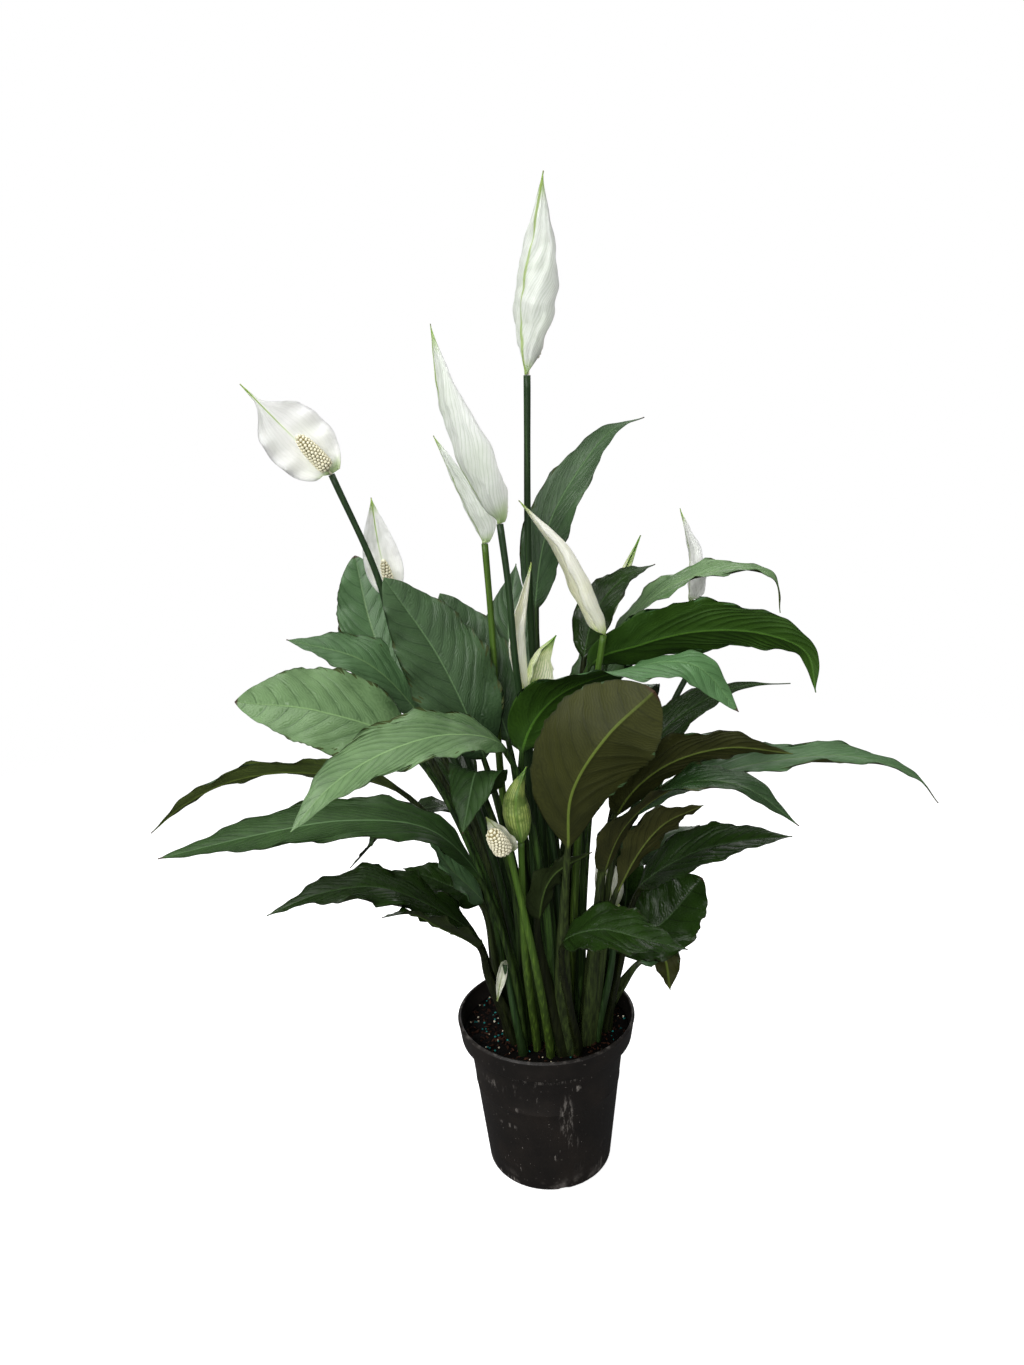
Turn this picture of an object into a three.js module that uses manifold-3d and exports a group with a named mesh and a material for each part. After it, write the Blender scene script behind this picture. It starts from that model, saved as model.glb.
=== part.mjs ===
// Potted peace lily: a nursery pot filled with soil, a fountain of leaves and fifteen blooms.
// Millimetres, +Z up, origin at the middle of the pot's base, the front of the plant towards -Y.

import * as THREE from 'three';
import Module from 'manifold-3d';
import { mergeVertices } from 'three/addons/utils/BufferGeometryUtils.js';

const wasm = await Module();
wasm.setup();

// ---- driving dimensions ---------------------------------------------------------------------

const gap = 0.3;                    // clearance between pieces that touch
const rimRadius = 85;               // a 17 cm nursery pot
const potHeight = 160;
const baseRadius = 60;
const wall = 1.7;
const skirtHeight = 22;
const skirtFootRadius = 82;
const ledgeRadius = 74.3;
const floorThickness = 2.4;
const potSides = 28;
const notchCount = 5;
const notch = { width: 11, height: 3.2, depth: 9 };
const firstNotch = -80;             // degrees round the base

const soilTop = 141;                // soil level at the wall
const soilCrown = 3;                // the soil stands this much higher in the middle
const stemDepth = 14;               // a stem's length below the soil level

const bladeThickness = 0.9;
const petioleRows = 4;
const bladeRows = 11;
const curveSteps = 200;             // samples that measure a curve's length
const petioleFoot = 3.7;            // half width of a leaf stem at the soil
const petioleTop = 2.1;             // and where the blade starts
const stalkFoot = 3.2;
const stalkTop = 2.3;
const stalkRows = 6;
const sleeveRings = 3;              // a shoot's lowest rings, which its hole in the soil follows
const leafRise = 0.66;              // exponents of a blade's outline below and above its widest part
const leafFall = 1.15;
const wavePhase = 0.35;             // the two margins wave apart by this share of a wave
const tipHalf = 0.9;
const footLength = 6;               // exponent that blends a blade's foot into its round stem

const spatheThickness = 0.9;
const spatheRows = 9;
const spatheColumns = 4;
const spatheRise = 0.6;
const spatheFall = 1.25;
const tightestRoll = 0.8;           // smallest radius that a rolled spathe closes to
const neckHalf = 1.5;               // half width of a spathe where it starts
const neckLength = 3;
const seatOffset = 1.2;             // the spathe stands on the rear half of its stalk's end
const spadixSeat = 1.1;             // and the spadix on the front half
const bareFoot = 8;                 // a spadix's stipe, where its bloom states no other
const spadixSides = 8;
const spadixRows = 9;

const colours = {
  pot: 0x262221, soil: 0x3a2a20, leaf: 0x2f5538, leafDark: 0x1f3d28, leafLight: 0x4d7450,
  stalk: 0x3f6436, spathe: 0xe9ece2, spatheGreen: 0xb9cf9c, bud: 0xb4c886, spadix: 0xe3dcb8,
};

// ---- solids ---------------------------------------------------------------------------------

const vec = (p) => new THREE.Vector3(p[0], p[1], p[2]);
const radians = THREE.MathUtils.degToRad;
const lerp = THREE.MathUtils.lerp;
const hexHalf = Math.cos(Math.PI / 6);

/** A closed solid through rings of points; the first and last ring are capped by fans. */
function loft(rings) {
  const sides = rings[0].length;
  const positions = rings.flat().flatMap((p) => [p.x, p.y, p.z]);
  const index = [];
  for (let row = 0; row + 1 < rings.length; row++) {
    for (let k = 0; k < sides; k++) {
      const a = row * sides + k;
      const b = row * sides + ((k + 1) % sides);
      const c = a + sides;
      const d = b + sides;
      // the split is mirrored about the middle of the ring, so both faces of a blade fold alike
      if (k < sides / 2) index.push(a, b, d, a, d, c);
      else index.push(a, b, c, b, d, c);
    }
  }
  const last = (rings.length - 1) * sides;
  for (let k = 1; k + 1 < sides; k++) {
    index.push(0, k + 1, k);
    index.push(last, last + k, last + k + 1);
  }
  return solid(positions, index);
}

/** A manifold from positions and triangles. */
function solid(positions, index) {
  return new wasm.Manifold(new wasm.Mesh({
    numProp: 3, vertProperties: new Float32Array(positions), triVerts: new Uint32Array(index),
  }));
}

/** A manifold from one of three.js's closed geometries, without the slivers at its poles. */
function solidOf(geometry) {
  geometry.deleteAttribute('normal');
  geometry.deleteAttribute('uv');
  const merged = mergeVertices(geometry, 1e-4);
  const corners = merged.index.array;
  const index = [];
  for (let k = 0; k < corners.length; k += 3) {
    const [a, b, c] = corners.slice(k, k + 3);
    if (a !== b && b !== c && c !== a) index.push(a, b, c);
  }
  return solid(merged.attributes.position.array, index);
}

/** A solid of revolution about the Z axis from a profile of [radius, height] points. */
function revolve(profile, sides) {
  const points = profile.map(([r, z]) => new THREE.Vector2(r, z));
  const lathe = new THREE.LatheGeometry(points, sides);
  lathe.rotateX(Math.PI / 2);
  return solidOf(lathe);
}

function join(solids) {
  return solids.reduce((whole, next) => whole.add(next));
}

const group = new THREE.Group();

/** Adds a body to the group as a named mesh with its own material. */
function piece(name, body, color, roughness = 0.5) {
  const mesh = body.getMesh();
  const geometry = new THREE.BufferGeometry();
  geometry.setAttribute('position', new THREE.BufferAttribute(mesh.vertProperties, 3));
  geometry.setIndex(new THREE.BufferAttribute(mesh.triVerts, 1));
  geometry.computeVertexNormals();
  const material = new THREE.MeshStandardMaterial({ color, roughness, metalness: 0 });
  const node = new THREE.Mesh(geometry, material);
  node.name = name;
  group.add(node);
}

// ---- stems, leaves and blooms -----------------------------------------------------------------

const sleeves = [];                 // each stem's foot with its clearance, for the soil's holes

/** The curve of a shoot: up out of the soil, then through its points. */
function shootPath(root, points) {
  const deep = vec([root[0], root[1], soilTop - stemDepth]);
  const level = vec([root[0], root[1], soilTop + soilCrown + 2]);
  return new THREE.CatmullRomCurve3([deep, level, ...points.map(vec)], false, 'centripetal');
}

/** Share of the curve's length at which its control point number k lies. */
function lengthShare(path, k) {
  const lengths = path.getLengths(curveSteps);
  const at = (k / (path.points.length - 1)) * curveSteps;
  const low = Math.floor(at);
  const high = Math.min(low + 1, curveSteps);
  return THREE.MathUtils.lerp(lengths[low], lengths[high], at - low) / lengths[curveSteps];
}

/** Side and normal of a blade at a share of its path's length; the normal is the upper face's. */
function bladeFrame(path, u, side0, roll) {
  const tangent = path.getTangentAt(u);
  const side = side0.clone().addScaledVector(tangent, -tangent.dot(side0)).normalize();
  side.applyAxisAngle(tangent, radians(roll));
  return { at: path.getPointAt(u), side, normal: side.clone().cross(tangent) };
}

const offset = (frame, x, z) =>
  frame.at.clone().addScaledVector(frame.side, x).addScaledVector(frame.normal, z);

/** A blade's ring of six points: upper face from left to right, then the under face back. */
function section(frame, half, left, right, thick, crown, keel) {
  return [
    offset(frame, -half, left + thick), offset(frame, 0, crown),
    offset(frame, half, right + thick), offset(frame, half, right - thick),
    offset(frame, 0, -keel), offset(frame, -half, left - thick),
  ];
}

const stemSection = (frame, r) => section(frame, r * hexHalf, 0, 0, r / 2, r, r);

/** Keeps the room that a stem needs in the soil, from its lowest rings [frame, radius]. */
function keepSleeve(rings) {
  const [[foot, footRadius]] = rings;
  const deeper = { ...foot, at: foot.at.clone().add(new THREE.Vector3(0, 0, -gap)) };
  const grown = [[deeper, footRadius], ...rings.slice(1)];
  sleeves.push(loft(grown.map(([frame, radius]) => stemSection(frame, radius + gap / hexHalf))));
}

/** Share of the full half width at the share s of a blade's length. */
function outline(s, rise, fall) {
  const peak = rise / (rise + fall);
  return (s ** rise * (1 - s) ** fall) / (peak ** rise * (1 - peak) ** fall);
}

/**
 * One leaf: a stem that widens into a waved blade with its rib below.
 * root [x, y] in the soil, stem: points up to and with the blade's start, blade: points to its tip.
 * width: full width; turn, roll, twist in degrees; fold: rise of the edges per half width.
 */
function leaf({ root, stem, blade, width, turn = 0, roll = 0, twist = 0, fold = 0.18, wave = 3,
  waves = 4, phase = 0, rise = leafRise, fall = leafFall }) {
  const path = shootPath(root, [...stem, ...blade]);
  const bladeStart = lengthShare(path, stem.length + 1);
  const start = vec(stem[stem.length - 1]);
  const tip = vec(blade[blade.length - 1]);
  const heading = Math.atan2(tip.y - start.y, tip.x - start.x) + radians(turn);
  const side0 = new THREE.Vector3(Math.sin(heading), -Math.cos(heading), 0);
  const stemFrame = (share) => bladeFrame(path, share * bladeStart, side0, roll - twist / 2);
  const stemRadius = (share) => lerp(petioleFoot, petioleTop, share);
  const stemRings = [];
  for (let row = 0; row < petioleRows; row++) {
    stemRings.push([stemFrame(row / petioleRows), stemRadius(row / petioleRows)]);
  }
  keepSleeve(stemRings.slice(0, sleeveRings));
  const rings = stemRings.map((ring) => stemSection(...ring));
  for (let row = 0; row <= bladeRows; row++) {
    const s = row / bladeRows;
    const frame = bladeFrame(path, lerp(bladeStart, 1, s), side0, roll + twist * (s - 0.5));
    const share = outline(s, rise, fall);
    const half = Math.max((width / 2) * share, lerp(petioleTop * hexHalf, tipHalf, s));
    const ripple = wave * Math.min(1, share * 1.2);
    const stemShare = (1 - s) ** footLength;
    const lift = (shift) =>
      (fold * half + ripple * Math.sin(2 * Math.PI * (waves * s + phase + shift))) * (1 - stemShare);
    const thick = lerp(bladeThickness / 2, petioleTop / 2, stemShare);
    const crown = lerp(bladeThickness / 2, petioleTop, stemShare);
    const keel = lerp(petioleTop, bladeThickness / 2, s);
    rings.push(section(frame, half, lift(0), lift(wavePhase), thick, crown, keel));
  }
  return loft(rings);
}

/** A bloom's stalk, six-sided, with a flat end that carries the bloom. */
function stalk({ root, stem }) {
  const path = shootPath(root, stem);
  const rings = [];
  for (let row = 0; row <= stalkRows; row++) {
    const u = row / stalkRows;
    rings.push([bladeFrame(path, u, new THREE.Vector3(1, 0, 0), 0), lerp(stalkFoot, stalkTop, u)]);
  }
  keepSleeve(rings.slice(0, sleeveRings));
  return loft(rings.map((ring) => stemSection(...ring)));
}

/** The end of a stalk: place, direction and the way that the bloom's inside faces. */
function stalkEnd({ root, stem, face }) {
  const path = shootPath(root, stem);
  const tangent = path.getTangent(1);
  const front = vec(face).addScaledVector(tangent, -vec(face).dot(tangent)).normalize();
  return { at: path.getPoint(1), tangent, front };
}

/**
 * The white bract: a blade cupped about the side that it faces.
 * blade: points to its tip; cup: angle from the middle to the edge, in degrees, below and above.
 */
function spathe(bloom) {
  const { blade, width, cup = [60, 35], ripple = 1.2, waves = 4, twist = 0, whole = false,
    rise = spatheRise, fall = spatheFall } = bloom;
  const end = stalkEnd(bloom);
  const foot = end.at.clone().addScaledVector(end.tangent, whole ? -gap : gap)
    .addScaledVector(end.front, -seatOffset);
  const neck = foot.clone().addScaledVector(end.tangent, neckLength);
  const path = new THREE.CatmullRomCurve3([foot, neck, ...blade.map(vec)], false, 'centripetal');
  const rings = [];
  for (let row = 0; row <= spatheRows; row++) {
    const s = row / spatheRows;
    const tangent = row === 0 ? end.tangent.clone() : path.getTangentAt(s);
    const front = end.front.clone().addScaledVector(tangent, -tangent.dot(end.front)).normalize();
    front.applyAxisAngle(tangent, radians(twist * s));
    const side = tangent.clone().cross(front);
    const at = path.getPointAt(s);
    const share = outline(s, rise, fall);
    const half = Math.max((width / 2) * share, lerp(neckHalf, tipHalf, s));
    const bend = Math.min(radians(lerp(cup[0], cup[1], s)), half / tightestRoll);
    const radius = half / bend;
    const inner = [];
    const outer = [];
    for (let k = 0; k <= spatheColumns; k++) {
      const u = (2 * k) / spatheColumns - 1;
      const ripples = Math.sin(2 * Math.PI * (waves * s + 0.2 * u));
      const wavy = ripple * Math.min(1, share) * u * u * ripples;
      const sideways = Math.sin(bend * u);
      const forward = Math.cos(bend * u);
      const place = (r) => at.clone().addScaledVector(side, r * sideways)
        .addScaledVector(front, radius - r * forward + wavy);
      inner.push(place(radius - spatheThickness / 2));
      outer.push(place(radius + spatheThickness / 2));
    }
    rings.push([...inner, ...outer.reverse()]);
  }
  return loft(rings);
}

/** The spike of tiny flowers: a blunt rod on a short stipe, its bumps raised by a formula. */
function spadix({ spadix: length, girth = 6, lean = 12, stipe = bareFoot, ...bloom }) {
  const end = stalkEnd(bloom);
  const along0 = vec(bloom.blade[0]).sub(end.at).normalize();
  const side0 = along0.clone().cross(end.front).normalize();
  const forward = along0.applyAxisAngle(side0, radians(lean));
  const foot = end.at.clone().addScaledVector(end.tangent, gap)
    .addScaledVector(end.front, spadixSeat);
  const front = side0.clone().cross(forward);
  const rings = [];
  for (let row = 0; row <= spadixRows; row++) {
    const along = (row / spadixRows) * (length + stipe);
    const body = THREE.MathUtils.clamp((along - stipe * 0.5) / (stipe * 0.7), 0, 1);
    const rounding = Math.sqrt(Math.max(0.08, 1 - (row / spadixRows) ** 5));
    const middle = foot.clone().addScaledVector(row === 0 ? end.tangent : forward, along)
      .addScaledVector(end.front, body * (girth - 1));
    const ring = [];
    for (let k = 0; k < spadixSides; k++) {
      const angle = (-2 * Math.PI * (k + 0.5 * (row % 2))) / spadixSides;
      const bump = 1 + 0.06 * body * Math.cos(1.5 * spadixSides * angle + Math.PI * row);
      const r = lerp(1, girth * rounding, body) * bump;
      ring.push(middle.clone().addScaledVector(side0, r * Math.cos(angle))
        .addScaledVector(row === 0 ? end.front : front, r * Math.sin(angle)));
    }
    rings.push(ring);
  }
  return loft(rings);
}

// ---- the pot and the soil ---------------------------------------------------------------------

const skirtFoot = potHeight - skirtHeight;
const innerLedge = skirtFoot - 3;

/** The pot: a tapered wall, a ledge, a wider skirt up to the rim, and water notches in the foot. */
function pot() {
  const corner = 4;
  const bevel = 1.2;
  const lip = 2.5;
  const body = revolve([
    [0, 0], [baseRadius - corner, 0], [baseRadius - bevel, bevel], [baseRadius, corner],
    [ledgeRadius, skirtFoot - bevel], [ledgeRadius + 1, skirtFoot], [skirtFootRadius, skirtFoot],
    [rimRadius - 0.4, potHeight - lip - 1.5], [rimRadius, potHeight - lip], [rimRadius, potHeight],
    [rimRadius - lip, potHeight], [skirtFootRadius - wall, skirtFoot + wall],
    [ledgeRadius - wall, innerLedge], [baseRadius - wall, floorThickness + 2],
    [baseRadius - corner, floorThickness], [0, floorThickness],
  ], potSides);
  const cuts = [];
  for (let k = 0; k < notchCount; k++) {
    const box = new THREE.BoxGeometry(notch.depth, notch.width, 2 * notch.height);
    box.translate(baseRadius, 0, 0);
    box.rotateZ(radians(firstNotch + (360 * k) / notchCount));
    cuts.push(solidOf(box));
  }
  return body.subtract(join(cuts));
}

/** The soil: it fills the pot to a low crown, with a hole for each shoot. */
function soil() {
  const wallAtTop = skirtFootRadius - wall - gap;
  const top = [];
  for (let k = 0; k <= 2; k++) {
    const r = wallAtTop * (1 - k / 2);
    top.push([r, soilTop + soilCrown * (1 - (r / wallAtTop) ** 2)]);
  }
  const body = revolve([
    [0, floorThickness + gap], [baseRadius - 5, floorThickness + gap],
    [baseRadius - wall - 2 * gap, floorThickness + 3], [ledgeRadius - wall - gap, innerLedge + gap],
    [wallAtTop, skirtFoot + wall + gap], ...top,
  ], potSides);
  return body.subtract(join(sleeves));
}

// ---- the plant's layout -----------------------------------------------------------------------

// Each entry is one node; where it holds two leaves, they share a sheath at the soil.
const leaves = {
  leaf_tall: [
    { root: [15, 14], stem: [[12, 24, 330], [4, 28, 549]],
      blade: [[17, 35, 620], [46, 46, 668], [75, 54, 699], [105, 62, 709]], width: 44, turn: 45,
      wave: 2 },
  ],
  leaf_back_left: [
    { root: [-22, 32], stem: [[-58, 48, 300], [-124, 62, 454]],
      blade: [[-151, 82, 528], [-163, 98, 591]], width: 62, turn: -40, rise: 0.6, fall: 0.7 },
    { root: [-22, 32], stem: [[-52, 44, 310], [-110, 56, 445]],
      blade: [[-155, 54, 499], [-224, 46, 525]], width: 58, roll: -35 },
  ],
  leaf_centre_left: [
    { root: [-16, -2], stem: [[-24, -8, 300], [-48, -12, 424]],
      blade: [[-81, -2, 511], [-128, 16, 584]], width: 84, turn: -40, rise: 0.6, fall: 0.8 },
  ],
  leaf_broad_left: [
    { root: [-28, 4], stem: [[-56, 2, 310], [-117, -5, 436]],
      blade: [[-187, -20, 476], [-256, -35, 492]], width: 84, roll: -45, rise: 0.6, fall: 0.8,
      wave: 2 },
  ],
  leaf_front_arch: [
    { root: [4, -34], stem: [[2, -42, 300], [-28, -52, 444]],
      blade: [[-68, -85, 472], [-118, -120, 473], [-160, -145, 456], [-192, -160, 425]],
      width: 55, roll: -28, waves: 5, fall: 1 },
  ],
  leaf_far_left: [
    { root: [-33, 17], stem: [[-58, 28, 270], [-131, 35, 379]],
      blade: [[-209, 25, 404], [-275, 10, 405], [-320, 0, 387], [-353, -5, 362]], width: 52,
      roll: 34 },
  ],
  leaf_long_left: [
    { root: [-20, -34], stem: [[-28, -46, 230], [-55, -60, 330]],
      blade: [[-95, -78, 387], [-160, -95, 405], [-226, -108, 402], [-309, -120, 389]],
      width: 45, roll: -28, waves: 5, rise: 0.8, fall: 1.0 },
  ],
  leaf_low_left: [
    { root: [-31, -22], stem: [[-50, -38, 224], [-60, -50, 266]],
      blade: [[-100, -66, 311], [-142, -82, 338], [-188, -95, 340], [-231, -105, 327]],
      width: 48, roll: -22, wave: 5, waves: 5 },
    { root: [-31, -22], stem: [[-52, -42, 224], [-59, -62, 267]],
      blade: [[-90, -85, 300], [-112, -105, 324], [-133, -125, 332]], width: 40, roll: 14,
      wave: 3 },
  ],
  leaf_mid_left: [
    { root: [-35, -8], stem: [[-44, -14, 210], [-56, -20, 287]],
      blade: [[-82, -25, 325], [-102, -25, 358]], width: 46, turn: -20 },
    { root: [-35, -8], stem: [[-46, 0, 200], [-58, 4, 274]],
      blade: [[-94, 2, 299], [-128, 4, 313]], width: 44, roll: -30 },
  ],
  leaf_hanging_left: [
    { root: [-28, 44], stem: [[-52, 54, 260], [-80, 62, 343]],
      blade: [[-130, 72, 338], [-190, 78, 280]], width: 42 },
    { root: [-28, 44], stem: [[-44, 80, 250], [-70, 110, 330]],
      blade: [[-110, 170, 380], [-150, 230, 330]], width: 62 },
  ],
  leaf_nose: [
    { root: [-9, -24], stem: [[-22, -34, 300], [-48, -46, 402]],
      blade: [[-53, -78, 436], [-65, -108, 395]], width: 48 },
  ],
  leaf_front_upright: [
    { root: [16, -46], stem: [[15, -66, 260], [21, -85, 368]],
      blade: [[25, -99, 424], [48, -109, 470], [103, -106, 498]], width: 88, turn: -80, fold: 0.3,
      wave: 2, rise: 0.95, fall: 0.6 },
    { root: [16, -46], stem: [[2, -58, 220], [-6, -62, 292]],
      blade: [[8, -64, 333], [43, -62, 353]], width: 36, roll: -10 },
  ],
  leaf_over_front: [
    { root: [8, -20], stem: [[2, -26, 300], [-14, -34, 437]],
      blade: [[12, -41, 485], [70, -53, 512], [128, -68, 518], [163, -79, 480]], width: 74,
      roll: -16, twist: 120, fold: -0.1, rise: 0.7, fall: 0.95 },
  ],
  leaf_right_dark: [
    { root: [30, 4], stem: [[36, 6, 330], [49, 10, 500]],
      blade: [[93, 8, 518], [143, -2, 530], [196, -17, 529], [230, -29, 514], [237, -38, 481]],
      width: 66, roll: -56 },
    { root: [30, 4], stem: [[46, 30, 340], [73, 55, 506]],
      blade: [[100, 56, 539], [141, 57, 564], [191, 56, 572], [222, 54, 561], [227, 50, 531]],
      width: 44, roll: 8 },
  ],
  leaf_upper_right: [
    { root: [26, 26], stem: [[34, 30, 330], [46, 33, 500]],
      blade: [[58, 36, 543], [82, 44, 569], [113, 52, 580]], width: 36, turn: 50 },
  ],
  leaf_behind_stalks: [
    { root: [6, 36], stem: [[0, 38, 290], [-11, 40, 427]],
      blade: [[-22, 65, 512], [-12, 100, 577]], width: 60 },
    { root: [6, 36], stem: [[-6, 36, 290], [-26, 34, 424]],
      blade: [[-51, 44, 500], [-83, 62, 559]], width: 66, turn: -40, fall: 0.8 },
  ],
  leaf_right_hook: [
    { root: [41, 14], stem: [[56, 20, 260], [76, 26, 377]],
      blade: [[105, 36, 413], [144, 43, 445], [189, 46, 463], [238, 48, 464]], width: 52,
      roll: 25, fall: 2 },
  ],
  leaf_far_right: [
    { root: [40, -8], stem: [[52, -9, 240], [82, -14, 362]],
      blade: [[142, -26, 402], [202, -34, 419], [270, -40, 423], [326, -43, 402], [346, -44, 378]],
      width: 47, roll: 7, waves: 5 },
    { root: [40, -8], stem: [[48, -20, 250], [66, -30, 373]],
      blade: [[104, -40, 419], [158, -50, 439], [214, -58, 434]], width: 56, roll: -24 },
  ],
  leaf_low_right: [
    { root: [38, -30], stem: [[44, -44, 240], [52, -56, 331]],
      blade: [[75, -70, 387], [122, -90, 425], [164, -104, 424], [206, -114, 393]], width: 60,
      roll: -4, twist: 50 },
    { root: [38, -30], stem: [[48, -32, 210], [66, -34, 300]],
      blade: [[104, -44, 366], [140, -52, 388]], width: 44, roll: -30 },
  ],
  leaf_side_right: [
    { root: [56, -6], stem: [[70, -8, 210], [90, -10, 289]],
      blade: [[134, -20, 327], [177, -32, 344], [221, -40, 350]], width: 54, roll: 18, wave: 3 },
    { root: [56, -6], stem: [[60, -5, 170], [66, -4, 222]],
      blade: [[110, 2, 245], [151, 8, 289]], width: 72, roll: 35, rise: 0.7, fall: 0.65 },
  ],
  leaf_front_right: [
    { root: [27, -42], stem: [[20, -64, 200], [16, -85, 279]],
      blade: [[46, -96, 297], [82, -108, 293], [117, -115, 286]], width: 56, roll: 16 },
  ],
  leaf_small_right: [
    { root: [58, 18], stem: [[76, 18, 175], [93, 15, 199]],
      blade: [[115, 20, 202], [122, 15, 167]], width: 32, turn: 70 },
    { root: [58, 18], stem: [[70, 34, 190], [82, 42, 243]],
      blade: [[84, 46, 286], [79, 50, 327]], width: 40, turn: -40 },
  ],
  leaf_back_middle: [
    { root: [6, 50], stem: [[0, 84, 260], [-8, 120, 380]],
      blade: [[-20, 190, 450], [-30, 280, 410]], width: 70 },
    { root: [6, 50], stem: [[26, 66, 300], [46, 96, 400]],
      blade: [[76, 160, 462], [112, 216, 430]], width: 58 },
  ],
  leaf_back_right: [
    { root: [28, 46], stem: [[42, 80, 250], [60, 110, 360]],
      blade: [[100, 170, 430], [140, 240, 390]], width: 68 },
  ],
  leaf_back_low_right: [
    { root: [45, 38], stem: [[70, 60, 210], [100, 80, 270]],
      blade: [[140, 122, 292], [182, 166, 236]], width: 56 },
  ],
};

const rolled = [150, 150];
const blooms = {
  bloom_tall: { root: [4, 8], stem: [[2, 13, 380], [0, 15, 480], [-2, 11, 596], [2, 5, 749]],
    blade: [[-1, 5, 803], [8, 5, 844], [20, 5, 902]], width: 70, rise: 1, fall: 1.5,
    face: [1, 0.5, 0], cup: [100, 75], twist: 25, spadix: 40 },
  bloom_left_tall: { root: [-4, -12],
    stem: [[-10, -17, 430], [-17, -26, 520], [-20, -25, 580], [-25, -22, 632]],
    blade: [[-44, -22, 658], [-67, -22, 721], [-73, -22, 791]], width: 84, face: [1, 0.1, 0],
    cup: [95, 75], spadix: 40 },
  bloom_open: { root: [-16, 18],
    stem: [[-58, 30, 360], [-119, 36, 502], [-136, 33, 584], [-168, 29, 673]],
    blade: [[-196, 23, 705], [-234, 10, 751]], width: 58, face: [0.3, -0.9, 0.3], cup: [30, 20],
    rise: 0.5, fall: 0.9, spadix: 36, girth: 7 },
  bloom_behind: { root: [-8, 10], stem: [[-26, 17, 380], [-36, 21, 530], [-39, 18, 610]],
    blade: [[-57, 18, 650], [-78, 18, 703]], width: 52, face: [1, 0.4, 0], cup: [70, 40],
    spadix: 34 },
  bloom_back_left: { root: [-10, 42], stem: [[-60, 58, 380], [-126, 64, 557]],
    blade: [[-136, 66, 602], [-140, 66, 648]], width: 38, face: [0.2, -1, 0], cup: [50, 30],
    spadix: 28, girth: 4.5 },
  bloom_rolled_right: { root: [22, -6], stem: [[40, -9, 400], [60, -9, 531]],
    blade: [[35, -16, 602], [-9, -24, 651]], width: 46, face: [-0.6, -0.5, 0.5], cup: rolled },
  bloom_rolled_centre: { root: [8, -6], stem: [[-4, -6, 350], [-8, -7, 480]],
    blade: [[-11, -7, 530], [0, -8, 597]], width: 36, face: [-0.5, -0.9, 0], cup: rolled },
  bloom_bud_centre: { root: [20, -20], stem: [[14, -8, 300], [0, 0, 430], [-3, 2, 482]],
    blade: [[3, 2, 511], [20, 2, 530]], width: 46, face: [0.5, -0.8, 0], cup: rolled,
    whole: true },
  bloom_bud_back: { root: [36, 24], stem: [[48, 56, 400], [65, 72, 514]],
    blade: [[80, 74, 553], [103, 76, 603]], width: 30, face: [0, -1, 0], cup: rolled,
    whole: true },
  bloom_right: { root: [46, 26],
    stem: [[84, 70, 300], [133, 86, 433], [161, 95, 491], [154, 100, 534]],
    blade: [[153, 100, 576], [143, 100, 623]], width: 46, face: [0.8, -0.5, 0], spadix: 28,
    girth: 4.5 },
  bloom_front: { root: [2, -50], stem: [[-10, -80, 260], [-28, -86, 367]],
    blade: [[-36, -90, 388], [-47, -92, 405]], width: 32, face: [-0.2, -1, 0.1], cup: [66, 56],
    spadix: 25, girth: 7.5 },
  bloom_green_front: { root: [-10, -38], stem: [[-18, -66, 260], [-18, -76, 371]],
    blade: [[-21, -78, 410], [-11, -74, 438]], width: 46, face: [0, 1, 0], cup: rolled,
    whole: true },
  bloom_wilted: { root: [-24, -46], stem: [[-30, -48, 190], [-36, -46, 238]],
    blade: [[-42, -48, 219], [-45, -50, 203]], width: 16, face: [0, -1, 0], cup: [120, 90],
    whole: true },
  bloom_bud_low: { root: [47, -26], stem: [[60, -28, 215], [67, -25, 268]],
    blade: [[68, -26, 275], [69, -27, 284]], width: 16, face: [0, -1, 0], cup: rolled,
    whole: true },
  bloom_low_right: { root: [52, 6], stem: [[58, 4, 200], [65, 3, 263]],
    blade: [[62, 3, 294], [52, 1, 323]], width: 36, face: [0, 1, 0], cup: [80, 60] },
};

const leafColours = [colours.leaf, colours.leafDark, colours.leafLight];
for (const [index, [name, pair]] of Object.entries(leaves).entries()) {
  piece(name, join(pair.map(leaf)), leafColours[index % leafColours.length]);
}
for (const [name, bloom] of Object.entries(blooms)) {
  if (bloom.whole) {
    piece(name, join([stalk(bloom), spathe(bloom)]), colours.bud);
    continue;
  }
  piece(`${name}_stalk`, stalk(bloom), colours.stalk);
  piece(`${name}_spathe`, spathe(bloom), colours.spathe, 0.6);
  if (bloom.spadix) piece(`${name}_spadix`, spadix(bloom), colours.spadix, 0.8);
}
piece('soil', soil(), colours.soil, 0.95);
piece('pot', pot(), colours.pot, 0.45);

export default group;
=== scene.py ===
"""The finished potted peace lily: nursery pot, potting mix, leaves and blooms.

Every shoot follows the curve and the outline of its solid, at a finer resolution. Sizes are in
millimetres, +Z up, the front towards -Y, and each mesh is scaled to metres when it is made.
"""

from __future__ import annotations

import logging
import math
import random
from dataclasses import dataclass, field
from enum import Enum
from functools import reduce
from typing import NamedTuple, Sequence

import bmesh
import bpy
from mathutils import Euler, Matrix, Quaternion, Vector, noise

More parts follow.
